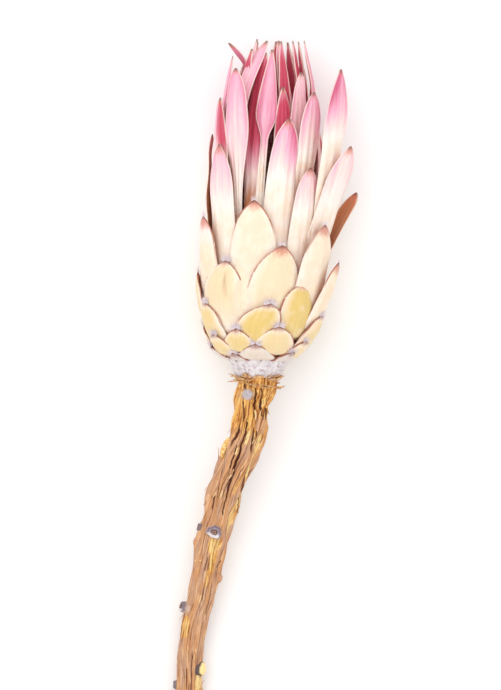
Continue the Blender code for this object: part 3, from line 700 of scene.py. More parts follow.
def new_piece(name, parts, materials, slot, *stands_for):
    """One object from parts in millimetres, which rides on the flower's one body."""
    starts = np.cumsum([0] + [len(part.points) for part in parts])
    points = np.vstack([part.points for part in parts])
    points[:, 2] = np.maximum(points[:, 2], LOWEST_POINT)
    faces = [face for part, start in zip(parts, starts) for face in (part.faces + start).tolist()]
    mesh = bpy.data.meshes.new(name)
    mesh.from_pydata(points * MM, [], faces)
    for field in parts[0].fields:
        values = np.concatenate([part.fields[field] for part in parts]).astype(np.float32)
        vector = values.ndim == 2
        made = mesh.attributes.new(field, "FLOAT_VECTOR" if vector else "FLOAT", "POINT")
        made.data.foreach_set("vector" if vector else "value", values.reshape(-1))
    mesh.shade_smooth()
    mesh.update()
    piece = bpy.data.objects.new(name, mesh)
    bpy.context.scene.collection.objects.link(piece)
    for material in materials:
        mesh.materials.append(material)
    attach(piece, "root")
    if stands_for:
        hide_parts(*stands_for)
    return piece


class Shader:
    """One procedural material, built node by node."""

    def __init__(self, name, roughness, **settings):
        self.material = bpy.data.materials.new(name)
        self.material.use_nodes = True
        self.tree = self.material.node_tree
        self.surface = self.tree.nodes["Principled BSDF"]
        self.surface.inputs["Roughness"].default_value = roughness
        for socket, value in settings.items():
            self.surface.inputs[socket.replace("_", " ").title()].default_value = value

    def feed(self, node, values):
        """Links a node's inputs to other nodes' outputs, and sets the rest."""
        for socket, value in values.items():
            if isinstance(value, bpy.types.NodeSocket):
                self.tree.links.new(value, node.inputs[socket])
            else:
                node.inputs[socket].default_value = value

    def field(self, name, vector=False):
        node = self.tree.nodes.new("ShaderNodeAttribute")
        node.attribute_name = name
        return node.outputs["Vector" if vector else "Fac"]

    def math(self, operation, *values):
        node = self.tree.nodes.new("ShaderNodeMath")
        node.operation = operation
        self.feed(node, dict(enumerate(values)))
        return node.outputs[0]

    def stretch(self, vector, *sizes):
        """A place scaled along its three axes, so that a noise runs out along the smallest."""
        node = self.tree.nodes.new("ShaderNodeVectorMath")
        node.operation = "MULTIPLY"
        self.feed(node, {0: vector, 1: sizes})
        return node.outputs[0]

    def noise(self, vector, scale, detail=3.0, roughness=0.55):
        node = self.tree.nodes.new("ShaderNodeTexNoise")
        self.feed(
            node, {"Vector": vector, "Scale": scale, "Detail": detail, "Roughness": roughness}
        )
        return node.outputs["Fac"]

    def between(self, value, low, high):
        """0 up to low, 1 from high on, and smooth between them."""
        node = self.tree.nodes.new("ShaderNodeMapRange")
        node.interpolation_type = "SMOOTHSTEP"
        self.feed(node, {"Value": value, "From Min": low, "From Max": high})
        return node.outputs["Result"]

    def blend(self, amount, first, second, how="MIX"):
        node = self.tree.nodes.new("ShaderNodeMix")
        node.data_type = "RGBA"
        node.blend_type = how
        colours = (node.inputs[MIX_FIRST], node.inputs[MIX_SECOND])
        self.feed(node, {0: amount})
        for socket, value in zip(colours, (first, second)):
            if isinstance(value, bpy.types.NodeSocket):
                self.tree.links.new(value, socket)
            else:
                socket.default_value = (*value, 1)
        return node.outputs[MIX_RESULT]

    def ramp(self, amount, *stops):
        node = self.tree.nodes.new("ShaderNodeValToRGB")
        elements = node.color_ramp.elements
        while len(elements) < len(stops):
            elements.new(0.5)
        for element, (position, tone) in zip(elements, stops):
            element.position = position
            element.color = (*tone, 1)
        self.feed(node, {"Fac": amount})
        return node.outputs["Color"]

    def bump(self, height, strength, distance, under=None):
        node = self.tree.nodes.new("ShaderNodeBump")
        self.feed(node, {"Height": height, "Strength": strength, "Distance": distance * MM})
        if under:
            self.feed(node, {"Normal": under})
        return node.outputs["Normal"]

    def finish(self, tone, normal=None):
        """The material, with its colour and its relief joined to the surface."""
        self.feed(self.surface, {"Base Color": tone})
        if normal:
            self.feed(self.surface, {"Normal": normal})
        return self.material


class Bract:
    """One bract of the spiral, as a curved blade.

    Across runs from -1 to 1 between its margins, and along from 0 at its root to 1 at its tip.
    """

    def __init__(self, place):
        seen = SEEN_BRACTS.get(place)
        self.place = place
        self.azimuth = math.radians(FIRST_AZIMUTH_DEG - GOLDEN_ANGLE_DEG * place)
        self.sway = self.twist = 0.0
        self.tip_height = lookup(TIP_HEIGHTS, place)
        self.tip_radius = None
        if seen:
            self.azimuth = math.radians(seen.azimuth)
            self.sway = math.radians(seen.sway)
            self.twist = math.radians(seen.twist)
            self.tip_height = seen.tip_height
            self.tip_radius = seen.tip_radius
        if self.tip_radius is None:
            outline = lookup(HEAD_PROFILE, self.tip_height)
            self.tip_radius = outline + TIP_FLARE - lookup(LEANS, place)
        self.half_width = seen.half_width if seen else lookup(HALF_WIDTHS, self.tip_height)
        self.root_height = lookup(ROOT_HEIGHTS, place)
        self.root_radius = lookup(ROOT_RADII, place)
        self.depth = lookup(LAYER_DEPTHS, place)
        self.inner = lookup(INNER_LAYERS, place)
        self.length = self.tip_height - self.root_height
        self.shoulder = lookup(SHOULDERS, self.tip_height)
        if place in BRACT_ROWS["inner_bracts"]:
            self.shoulder = lookup(INNER_SHOULDERS, place)
        if seen and seen.shoulder:
            self.shoulder = seen.shoulder
        self.bend = min(lookup(TIP_BENDS, self.tip_height), LONGEST_BEND_SHARE * self.length)
        if seen and seen.bend:
            self.bend = seen.bend
        self.claw, self.claw_top = lookup(CLAW_SHARES, place), 0.0
        self.widest = lookup(WIDENING_SHARES, place)
        if place in CLAWS:
            claw = CLAWS[place]
            self.claw = claw.half_width / self.half_width
            self.claw_top = (claw.top - self.root_height) / self.length
            self.widest = (claw.widest - self.root_height) / self.length
        if seen and seen.inner:
            self.inner = self.depth = seen.inner
        self.shown = min(lookup(SHOWN_LENGTHS, place), self.length)
        self.draw = np.random.default_rng(BRACT_SEED + place)

    def height(self, along):
        return self.root_height + self.length * along

    def midline(self, along):
        """Radius and azimuth of the blade's middle line, and how freely it stands there."""
        height = self.height(along)
        outline = lookup(HEAD_PROFILE, height)
        slope = LAYER_SLOPE * (self.tip_height - height)
        layer = outline - np.minimum(slope + self.inner, self.depth)
        radius = mix(self.root_radius, layer, smooth_step(along / ROOT_SHARE))
        tip_line = self.tip_radius + outline - lookup(HEAD_PROFILE, self.tip_height)
        free = np.maximum(0, 1 - (self.tip_height - height) / self.bend) ** TIP_SWEEP
        return mix(radius, tip_line, free), self.azimuth - self.sway * (1 - free), free

    def width(self, along):
        """Half the blade's width: a widening claw, and shoulders that run out to the tip."""
        claw = mix(self.claw, 1, smooth_step(along, self.claw_top, self.widest))
        shoulders = 1 - np.exp((along - 1) * self.length / self.shoulder)
        return TIP_HALF_WIDTH + (self.half_width - TIP_HALF_WIDTH) * claw * shoulders

    def smooth_face(self, across, along):
        """The blade's outer face without its relief, in the head's own frame."""
        radius, azimuth, free = self.midline(along)
        curve = np.maximum(CROSS_CURVE * radius, TIGHTEST_CURVE)
        turn = across * self.width(along) / curve
        inward, sideways = curve * (1 - np.cos(turn)), curve * np.sin(turn)
        twist = self.twist * free
        outward = radius - inward * np.cos(twist) - sideways * np.sin(twist)
        sideways = sideways * np.cos(twist) - inward * np.sin(twist)
        return round_axis(outward, sideways, azimuth, self.height(along))

    def relief(self, across, along):
        """How far the face stands out: its swelling, its ripples and its creases."""
        below_tip = (1 - along) * self.length
        swell = np.sin(np.pi * np.clip(below_tip / self.shown, 0, 1) ** SWELL_POWER)
        pillow = lookup(PILLOWS, self.place) * swell * (1 - across**2)
        waves, phase = self.draw.uniform(*RIPPLE_WAVES), self.draw.uniform(0, math.tau)
        ripple = np.sin(math.tau * waves * along + phase + 1.3 * np.sign(across))
        ripple = ripple * lookup(RIPPLES, self.place) * np.abs(across) ** 3 * swell
        folds = self.draw.uniform(*FOLD_WAVES)
        fold = np.sin(math.tau * folds * across + 2.2 * along + phase) * lookup(FOLDS, self.place)
        ripple = ripple + fold * swell * (1 - across**2) ** 0.5
        crease = CREASE_DEPTH * self.crease(across, along)
        return pillow * (1 - 0.5 * np.abs(across)) + ripple - crease

    def crease(self, across, along):
        """A short dry crease along one bract, fading out at both its ends."""
        below_middle = (1 - along) * self.length - CREASE_TOP - CREASE_LENGTH / 2
        lengthwise = np.clip(1 - (2 * below_middle / CREASE_LENGTH) ** 2, 0, 1)
        place = CREASE_PLACE + CREASE_SHIFT * below_middle
        crosswise = np.exp(-(((across - place) / CREASE_WIDTH) ** 2))
        return lengthwise * crosswise * (self.place == CREASED)

    def face(self, across, along):
        """The blade's outer face in the world."""
        smooth = from_head(self.smooth_face(across, along))
        return smooth + sheet_normals(smooth) * self.relief(across, along)[..., None]

    def blush(self, across, along):
        """How pink the outer face is, deepest at its margins."""
        height = self.height(along)
        if self.place in BLUSHES:
            start, full, most = BLUSHES[self.place]
        else:
            start, most = lookup(BLUSH_STARTS, self.place), lookup(BLUSH_STRENGTHS, self.place)
            full = start + BLUSH_RISE
        rising = smooth_step(height, start, full)
        deeper = lookup(MARGIN_BLUSHES, self.place) * (across**2 - 0.3)
        pink = self.side_blush_and_shade(across, along, "pink")
        return rising * (most + deeper + pink)

    def side_blush_and_shade(self, across, along, tone):
        """How much of a tone one side of the bract has; its crimson is painted shade of the side
        turned from the light.
        """
        if self.place not in SIDE_BLUSHES_AND_SHADE:
            return 0 * across
        found = SIDE_BLUSHES_AND_SHADE[self.place]
        start, full = self.tip_height - SIDE_BLUSH_END, self.tip_height - SIDE_BLUSH_FULL
        high = smooth_step(self.height(along), start, full)
        return getattr(found, tone) * smooth_step(found.side * across, -0.5, 0.5) * high

    def crimson(self, across, along):
        """How crimson the outer face is, less so at its tip and its margins."""
        inner = INNER_CRIMSON if self.place in BRACT_ROWS["inner_bracts"] else 0.0
        deep = CRIMSONS.get(self.place, inner) * smooth_step(self.height(along), *CRIMSON_HEIGHTS)
        below_tip = smooth_step((1 - along) * self.length, *PALER_TIP)
        deep = deep * (0.45 + 0.55 * below_tip) * (1 - 0.35 * np.abs(across) ** 3)
        # The crimson side is painted shade of the side turned from the light.
        return deep + self.side_blush_and_shade(across, along, "crimson")

    def gold(self, across, along):
        """Golden middle of the shown part, which fades to cream at the margins."""
        below_tip = (1 - along) * self.length
        foot = 1 - smooth_step(below_tip / self.shown, *GOLD_FOOT)
        lengthwise = smooth_step(below_tip, *GOLD_TIP) * foot
        crosswise = 1 - smooth_step(np.abs(across), *GOLD_SIDES)
        return lookup(GOLDS, self.place) * lengthwise * crosswise

    def grid(self):
        """Across and along at every point of the blade's face."""
        across = np.linspace(-1, 1, CELLS_ACROSS + 1)
        along = np.linspace(0, 1, CELLS_ALONG + 1) ** ROW_CROWDING
        return np.meshgrid(across, along)


def bract_part(bract, thickness, margin_thickness):
    """One bract's blade, with the fields that colour it."""
    across, along = bract.grid()
    width = bract.width(along)
    ones = np.ones_like(across)
    grain = np.stack((across * width, along * bract.length, ones * bract.place * 3.7), axis=-1)
    fields = {
        "grain": grain,
        "height": bract.height(along),
        "below_tip": (1 - along) * bract.length,
        "margin": (1 - np.abs(across)) * width,
        "middle": np.abs(across) * width,
        "gold": bract.gold(across, along),
        "blush": bract.blush(across, along),
        "crimson": bract.crimson(across, along),
        "crease": bract.crease(across, along),
        "amber": AMBERS.get(bract.place, float(bract.place in BRACT_ROWS["inner_bracts"])) * ones,
        "scorch": lookup(SCORCHES, bract.place) * bract.draw.uniform(0.75, 1.25) * ones,
        "line": lookup(MARGIN_LINES, bract.place) * bract.draw.uniform(0.7, 1.3) * ones,
        "rank": bract.place * ones,
        "inside": 0 * ones,
    }
    body = smooth_step(1 - np.abs(across), 0.0, 0.45) * smooth_step(1 - along, 0, 0.08)
    solid = mix(margin_thickness, thickness, body)
    return blade(bract.face(across, along), solid, fields, {"inside": ones})


def bract_material(look):
    """Dry bract: cream and gold below, blushing above, with scorched tips and margins."""
    made = Shader("dried_bract", 0.5, sheen_weight=0.1, subsurface_weight=0.08)
    made.surface.inputs["Subsurface Radius"].default_value = (0.002, 0.001, 0.0006)
    made.surface.inputs["Subsurface Scale"].default_value = 0.6
    made.surface.inputs["Sheen Roughness"].default_value = 0.4
    made.surface.inputs["Specular IOR Level"].default_value = 0.35
    grain = made.field("grain", vector=True)
    blotches = made.noise(grain, 0.26, detail=3)
    streaks = made.noise(made.stretch(grain, 1.0, 0.07, 1.0), 0.9, detail=5, roughness=0.6)
    veins = made.noise(made.stretch(grain, 1.0, 0.035, 1.0), 3.0, detail=4, roughness=0.6)
    crinkle = made.noise(made.stretch(grain, 1.0, 0.55, 1.0), 1.1, detail=5, roughness=0.6)

    outer = outer_tone(made, look, blotches, streaks)
    tone = made.blend(made.field("inside"), outer, inner_tone(made, look, streaks))
    tone = scorched(made, look, tone, veins, crinkle)

    shade = made.ramp(veins, (0.3, (0.82, 0.80, 0.78)), (0.5, (1, 1, 1)), (0.7, (1, 1, 1)))
    tone = made.blend(0.5, tone, shade, how="MULTIPLY")
    normal = made.bump(veins, 0.55, 0.3)
    normal = made.bump(crinkle, 0.5, 0.5, under=normal)
    return made.finish(tone, normal)


def outer_tone(made, look, blotches, streaks):
    """The outer face: cream with gold, then blush, then crimson, and down on the lowest."""
    ground = made.blend(made.between(blotches, 0.3, 0.7), look.cream, look.ivory)
    golden = made.math("MULTIPLY", made.field("gold"), made.between(blotches, 0.0, 0.55))
    ground = made.blend(golden, ground, look.gold)
    low = made.math("MULTIPLY", made.between(made.field("height"), *AMBER_FADE), made.field("amber"))
    ground = made.blend(low, ground, look.amber)

    uneven = made.math("MULTIPLY", made.math("SUBTRACT", streaks, 0.5), 0.55)
    rising = made.between(made.field("blush"), 0.0, 0.3)
    blush = made.math("ADD", made.field("blush"), made.math("MULTIPLY", uneven, rising))
    blushing = made.ramp(
        blush, (0.0, (1, 1, 1)), (0.08, (1, 1, 1)), (0.3, look.rose), (0.6, look.pink),
        (1.0, look.magenta),
    )
    outer = made.blend(made.between(blush, 0.03, 0.32), ground, blushing)

    deep = made.math("ADD", made.field("crimson"), made.math("MULTIPLY", uneven, 1.1))
    deep = made.math("MULTIPLY", deep, made.between(made.field("crimson"), 0.02, 0.2))
    outer = made.blend(made.between(deep, 0.08, 0.8), outer, look.crimson)
    down = made.between(made.field("rank"), 1.2, -0.8)
    return made.blend(made.math("MULTIPLY", down, 0.75), outer, look.wool)


def inner_tone(made, look, streaks):
    """The inner face: amber low in the head and crimson high, paler at its margins."""
    height = made.math("ADD", made.field("height"), made.math("MULTIPLY", streaks, 14))
    inner = made.blend(made.between(height, *INNER_TURN), look.amber, look.crimson)
    pale = made.math("MULTIPLY", made.between(made.field("margin"), 0.9, 0.1), 0.45)
    return made.blend(pale, inner, look.rose)


def scorched(made, look, tone, veins, crinkle):
    """Dried brown tips that fade downwards, thin brown lines along the margins, and painted shade
    along the crease.
    """
    below_tip, margin = made.field("below_tip"), made.field("margin")
    reach = made.math("SUBTRACT", made.field("scorch"), below_tip)
    reach = made.math("SUBTRACT", reach, made.math("MULTIPLY", made.field("middle"), 0.35))
    uneven = made.math("MULTIPLY", made.math("SUBTRACT", crinkle, 0.5), 3.4)
    reach = made.math("ADD", reach, uneven)
    tone = made.blend(
        made.math("MULTIPLY", made.between(reach, -2.0, 1.6), 0.78), tone, look.russet
    )
    papery = made.math("MULTIPLY", made.between(margin, 0.5, 0.25), 0.65)
    papery = made.math("MULTIPLY", papery, made.between(made.field("rank"), 24, 36))
    tone = made.blend(papery, tone, look.ivory)
    along = made.math("DIVIDE", below_tip, made.field("line"))
    line = made.between(margin, 0.75, 0.4)
    line = made.math("MULTIPLY", line, made.between(along, 1.0, 0.45))
    line = made.math("MULTIPLY", line, made.between(crinkle, 0.22, 0.5))
    line = made.math("MULTIPLY", line, made.between(made.field("rank"), 46, 20))
    tip = made.between(made.math("ADD", below_tip, made.math("MULTIPLY", veins, 1.8)), 2.7, 1.0)
    # The crease takes some of the lines' brown: painted shade in its groove.
    line = made.math("MAXIMUM", line, made.math("MULTIPLY", made.field("crease"), 0.45))
    tone = made.blend(made.math("MULTIPLY", line, 0.9), tone, look.lines)
    return made.blend(made.math("MULTIPLY", tip, 0.75), tone, look.umber)


class ProteaReceptacle(bpy.types.Operator):
    """The solid cup that carries the bracts."""

    bl_idname = "protea.receptacle"
    bl_label = "Receptacle"

    def execute(self, context):
        look = context.scene.protea_bracts
        points, faces = turned(RECEPTACLE, RECEPTACLE_SIDES)
        cup = Part(points, faces, {"grain": points / 2})
        made = Shader("receptacle", 0.8)
        patches = made.noise(made.field("grain", vector=True), 0.8, detail=4)
        tone = made.blend(patches, look.russet, look.amber)
        material = made.finish(tone, made.bump(patches, 0.5, 0.4))
        new_piece("receptacle", [cup], [material], "bracts", "involucre")
        return {"FINISHED"}


class ProteaBracts(bpy.types.Operator):
    """Every bract of the spiral, row by row from the lowest."""

    bl_idname = "protea.bracts"
    bl_label = "Bracts"

    def execute(self, context):
        look = context.scene.protea_bracts
        material = bract_material(look)
        for name, places in BRACT_ROWS.items():
            parts = [
                bract_part(Bract(place), look.thickness / MM, look.margin / MM)
                for place in places
            ]
            new_piece(name, parts, [material], "bracts", "involucre")
        return {"FINISHED"}


class ProteaFlorets(bpy.types.Operator):
    """The cone of florets inside the head."""

    bl_idname = "protea.florets"
    bl_label = "Florets"

    def execute(self, context):
        look = context.scene.protea_wool
        draw = np.random.default_rng(FLORET_SEED)
        number = (np.arange(FLORETS) + 0.5) / FLORETS
        heights = mix(LOWEST_FLORET, HIGHEST_FLORET, number**FLORET_CROWDING)
        turns = np.radians(GOLDEN_ANGLE_DEG) * np.arange(FLORETS)
        radii = lookup(FLORET_CONE, heights) - 0.2
        lengths = mix(LOWEST_LENGTH, HIGHEST_LENGTH, number)
        parts = [self.core(), self.tubes(heights, turns, radii, lengths)]
        made = Shader("floret", 0.7, sheen_weight=0.3)
        grain = made.field("grain", vector=True)
        streaks = made.noise(made.stretch(grain, 1, 1, 0.2), 1.6, detail=4)
        tone = made.blend(streaks, look.floret, srgb(206, 140, 110))
        tone = made.blend(made.between(made.field("reach"), 0.6, 1.0), tone, srgb(120, 40, 52))
        material = made.finish(tone, made.bump(streaks, 0.6, 0.2))
        new_piece("floret_cone", parts, [material], "florets", "florets")
        self.add_hairs(look, heights, turns, radii, lengths, draw)
        return {"FINISHED"}

    def core(self):
        """The closed cone that the florets stand on."""
        rows = ((FLORET_CONE[0][0], 0.0), *FLORET_CONE, (FLORET_CONE[-1][0], 0.0))
        points, faces = turned(rows, CORE_SIDES)
        return Part(points, faces, {"grain": points, "reach": np.zeros(len(points))})

    def tubes(self, heights, turns, radii, lengths):
        """The florets as slim tubes that lean out in their middle and open at the top."""
        reach = np.linspace(0, 1, FLORET_RINGS)[None, :, None]
        spokes = (np.arange(FLORET_SIDES) * math.tau / FLORET_SIDES)[None, None]
        size = mix(FLORET_RADIUS, FLORET_TIP_RADIUS, reach) * (1 + 0.7 * smooth_step(reach, 0.8, 1))
        lean = FLORET_LEAN * np.sin(math.pi * reach)
        outward = radii[:, None, None] + lean + size * np.cos(spokes)
        sideways = size * np.sin(spokes) + 0 * outward
        height = heights[:, None, None] + lengths[:, None, None] * reach + 0 * outward
        azimuth = turns[:, None, None] + 0 * outward
        points = from_head(round_axis(outward, sideways, azimuth, height))
        faces = tube_faces(len(heights), FLORET_RINGS, FLORET_SIDES)
        fields = {"grain": points.reshape(-1, 3), "reach": (reach + 0 * outward).reshape(-1)}
        return Part(points.reshape(-1, 3), faces, fields)

    def add_hairs(self, look, heights, turns, radii, lengths, draw):
        """Short pale hairs on the upper halves of the florets."""
        pick = draw.integers(0, len(heights), FLORET_HAIRS)
        along = draw.uniform(0.45, 1.0, FLORET_HAIRS)
        spin = draw.uniform(-1, 1, FLORET_HAIRS)
        roots = round_axis(
            radii[pick] + 0.4, 0.5 * spin, turns[pick], heights[pick] + lengths[pick] * along
        )
        aims = round_axis(0.6 + 0 * spin, 0.6 * spin, turns[pick], 1.2 + 0 * spin)
        part = hairs(
            from_head(roots), aims @ HEAD_AXES.T,
            draw.uniform(*FLORET_HAIR_LENGTHS, FLORET_HAIRS), look.hair / MM, 0.2, draw,
        )
        material = hair_material("floret_hair", look.white)
        new_piece("floret_hairs", [part], [material], "florets")


def hair_material(name, tone):
    """Plain fine hair."""
    return Shader(name, 0.6, sheen_weight=0.2).finish((*tone, 1))


class ProteaWool(bpy.types.Operator):
    """The collar of woolly scales, and the down on it and on the bract tips."""

    bl_idname = "protea.wool"
    bl_label = "Wool"

    def execute(self, context):
        look = context.scene.protea_wool
        scales = []
        for row_number, row in enumerate(SCALE_ROWS):
            for number in range(row.scales):
                turn = math.tau * (number + SCALE_STAGGER * row_number) / row.scales
                scales.append(self.scale(row, turn, len(scales)))
        made = Shader("woolly_scale", 0.95, sheen_weight=0.5)
        grain = made.field("grain", vector=True)
        crinkle = made.noise(made.stretch(grain, 1.0, 0.5, 1.0), 0.8, detail=4, roughness=0.55)
        tone = made.blend(made.between(crinkle, 0.3, 0.6), srgb(196, 184, 190), look.grey)
        edge = made.between(made.field("margin"), 0.45, 0.1)
        tone = made.blend(made.math("MULTIPLY", edge, 0.45), tone, srgb(190, 160, 150))
        material = made.finish(tone, made.bump(crinkle, 0.5, 0.4))
        new_piece("collar_scales", scales, [material], "wool", "woolly_scales")
        self.add_collar_hairs(look)
        self.add_tufts(look)
        return {"FINISHED"}

    def scale(self, row, turn, number):
        """One woolly scale: a wrinkled blade with a ragged, rounded end."""
        draw = np.random.default_rng(SCALE_SEED + number)
        cells_across, cells_along = SCALE_CELLS
        across, along = np.meshgrid(
            np.linspace(-1, 1, cells_across + 1), np.linspace(0, 1, cells_along + 1)
        )
        turn = turn + draw.uniform(*SCALE_TURNS)
        height = mix(row.root_height, row.tip_height * draw.uniform(*SCALE_HEIGHTS), along)
        radius = mix(row.root_radius, row.tip_radius, along**0.8)
        radius = radius + SCALE_BULGE * np.sin(math.pi * along)
        width = SCALE_HALF_WIDTH * np.sqrt(np.clip(1 - (1.55 * along - 0.5) ** 2 / 1.15, 0.02, 1))
        wrinkles = np.sin(9 * along + 4 * across + number) + np.sin(7 * across - 5 * along)
        ragged = SCALE_RAGGEDNESS * np.sin(11 * across + number) * along**2
        outward = radius - (across * width) ** 2 / (2 * SCALE_CURVE) + SCALE_WRINKLES * wrinkles
        height = height + ragged
        face = from_head(round_axis(outward, across * width, turn, height))
        grain = np.stack((across * width, along * 5, 0 * across + number * 2.9), axis=-1)
        fields = {"grain": grain, "margin": (1 - np.abs(across)) * width}
        return blade(face, SCALE_THICKNESS + 0 * across, fields, {})

    def add_collar_hairs(self, look):
        """The down on the ring of scales."""
        draw = np.random.default_rng(COLLAR_SEED)
        height = draw.uniform(*COLLAR_HEIGHTS, COLLAR_HAIRS)
        turn = draw.uniform(0, math.tau, COLLAR_HAIRS)
        roots = round_axis(lookup(COLLAR_PROFILE, height) - 0.5, 0 * turn, turn, height)
        aims = round_axis(
            1 + 0 * turn, draw.normal(0, 0.8, COLLAR_HAIRS), turn,
            draw.normal(0.3, 0.8, COLLAR_HAIRS),
        )
        lengths = look.collar / MM * draw.uniform(0.3, 1.3, COLLAR_HAIRS) ** 2
        part = hairs(
            from_head(roots), aims @ HEAD_AXES.T, lengths, look.hair / MM, 0.35, draw
        )
        new_piece("collar_hairs", [part], [hair_material("collar_hair", look.grey)], "wool")

    def add_tufts(self, look):
        """The pale tufts on the points of the lower and middle bracts."""
        draw = np.random.default_rng(TUFT_SEED)
        parts = [self.tuft(Bract(place), look, draw) for place in TUFTED]
        new_piece("bract_hairs", parts, [hair_material("bract_hair", look.white)], "wool")

    def tuft(self, bract, look, draw):
        """Hairs round the point of one bract, which lie over the bracts behind it."""
        count = FULL_TUFT if bract.place < THIN_TUFTS_FROM else THIN_TUFT
        side = draw.choice((-1.0, 1.0), count)
        along = 1 - TUFT_SPREAD / bract.length * draw.uniform(0, 1, count) ** 1.5
        edge = bract.smooth_face(side * draw.uniform(0.8, 1.0, count), along)
        middle = bract.smooth_face(0 * side, along - 0.05)
        outward = unit(edge * (1, 1, 0))
        away = unit(edge - middle)
        roots = from_head(edge - 0.2 * outward)
        aims = TUFT_OUT * away + (0, 0, TUFT_UP) + draw.normal(0, TUFT_MUSS, (count, 3))
        rise = np.sum(aims * outward, axis=-1, keepdims=True)
        aims = aims + outward * (TUFT_LIFT - TUFT_FLATNESS * rise)
        lengths = look.tuft / MM * draw.uniform(0.3, 1.0, count)
        thickness = TUFT_COARSENESS * look.hair / MM
        return hairs(roots, aims @ HEAD_AXES.T, lengths, thickness, 0.4, draw)


def stem_lines(along):
    """Middle, radius and head-ward direction of the stem at places along Y."""
    rows = [np.array(row, float) for row in STEM_COURSE]
    rows = [2 * rows[0] - rows[1], *rows, 2 * rows[-1] - rows[-2]]
    course = []
    for before, start, end, after in zip(rows, rows[1:], rows[2:], rows[3:]):
        for step in range(STEPS_PER_SPAN):
            part = step / STEPS_PER_SPAN
            course.append(
                0.5 * (
                    2 * start + (end - before) * part
                    + (2 * before - 5 * start + 4 * end - after) * part**2
                    + (3 * start - before - 3 * end + after) * part**3
                )
            )
    course = np.array([*course, rows[-2]])[::-1]
    x, z, radius = (np.interp(along, course[:, 1], course[:, column]) for column in (0, 2, 3))
    middle = np.stack((x, along + 0 * x, z), axis=-1)
    ahead = np.stack(
        [np.interp(along + 0.5, course[:, 1], course[:, column]) for column in (0, 2)], axis=-1
    )
    behind = np.stack(
        [np.interp(along - 0.5, course[:, 1], course[:, column]) for column in (0, 2)], axis=-1
    )
    slope = ahead - behind
    direction = unit(np.stack((slope[..., 0], 1 + 0 * x, slope[..., 1]), axis=-1))
    return middle, radius, direction


def stem_axes(direction):
    """The stem's own right and up at its directions."""
    side = unit(np.cross(direction, UP))
    return side, np.cross(side, direction)


def stem_place(along, turn):
    """Middle, radius and head-ward direction of the stem at one place, and the way out."""
    middle, radius, direction = stem_lines(np.array(float(along)))
    side, up = stem_axes(direction)
    return middle, radius, direction, math.cos(turn) * up + math.sin(turn) * side


def furrow(around, along):
    """How far the bark stands out or in, round the stem and along it."""
    wander = sum(
        math.radians(swing) * np.sin(along / wave) for swing, wave in (LONG_WANDER, SHORT_WANDER)
    )
    broad = np.sin(FURROWS * (around + FURROW_TWIST * along) + wander)
    fine = np.sin(FINE_FURROWS * around + FINE_TWIST * along + 2 * wander)
    return lookup(FURROW_DEPTHS, along) * (broad + FINE_SHARE * fine)


def seen_turn(x, y):
    """The turn round the stem at which a point of its upper side shows from above."""
    middle, radius, _ = stem_lines(y)
    return np.arcsin(np.clip((x - middle[..., 0]) / radius, -0.98, 0.98))


def wrapped(turn):
    """The same turn, from minus half a circle to half a circle."""
    return (turn + math.pi) % math.tau - math.pi


def cleft_lines():
    """Every cleft as (places along, turns round, half width, depth)."""
    lines = []
    for cleft in SEEN_CLEFTS:
        x, y = np.array(cleft.path).T
        lines.append((y[::-1], seen_turn(x, y)[::-1], cleft.half_width, cleft.depth))
    draw = np.random.default_rng(CLEFT_SEED)
    for number in range(HIDDEN_CLEFTS + HAIRLINES):
        fine = number >= HIDDEN_CLEFTS
        middle = draw.uniform(*CLEFT_MIDDLES)
        reach = draw.uniform(*CLEFT_REACHES)
        upper = smooth_step(middle, *CLEFT_COARSENING)
        turn = math.radians(draw.uniform(0, 360) if fine else draw.uniform(*UNDERSIDE_DEG))
        places = np.linspace(middle - reach, middle + reach, 5)
        turns = turn + np.cumsum(draw.normal(0, 0.04, 5))
        if fine:
            lines.append((places, turns, HAIRLINE_HALF_WIDTH, mix(0.12, 0.3, upper)))
        else:
            lines.append((places, turns, mix(0.22, 0.5, upper), mix(0.3, 1.1, upper)))
    return lines


def cleft_depths_and_shade(around, along, radius):
    """How deep the clefts cut, and how dark they are painted: painted shade that deepens with the
    cleft.
    """
    deep, dark = np.zeros_like(around), np.zeros_like(around)
    wobble = 0.3 * np.sin(0.9 * along) + 0.2 * np.sin(2.3 * along + 2)
    for places, turns, half_width, depth in cleft_lines():
        off = wrapped(around - np.interp(along, places, turns)) * radius + wobble * half_width
        reach = np.clip((along - places[0]) / (places[-1] - places[0]), 0, 1)
        open_width = half_width * np.sin(np.pi * reach) ** 0.6
        inside = 1 - np.clip(np.abs(off) / (open_width + 0.12), 0, 1)
        inside = inside * smooth_step(open_width, 0.05, 0.15)
        deep = np.maximum(deep, depth * smooth_step(inside, 0, 0.9))
        # Painted shade inside the cleft, darker where it cuts deeper.
        dark = np.maximum(dark, smooth_step(inside, 0.1, 0.8) * min(1, 0.3 + depth))
    return deep, dark


def all_tears():
    """Every tear as (turn, along, half width, half length, fresh), the underside's too."""
    tears = [(seen_turn(tear.x, np.array(tear.y)), *tear[1:]) for tear in SEEN_TEARS]
    draw = np.random.default_rng(CLEFT_SEED + 1)
    for _ in range(HIDDEN_TEARS):
        turn, along = math.radians(draw.uniform(*TEAR_TURNS_DEG)), draw.uniform(*TEAR_MIDDLES)
        width, reach = draw.uniform(*TEAR_HALF_WIDTHS), draw.uniform(*TEAR_HALF_LENGTHS)
        tears.append((turn, along, width, reach, draw.uniform(*TEAR_FRESHNESS)))
    return tears


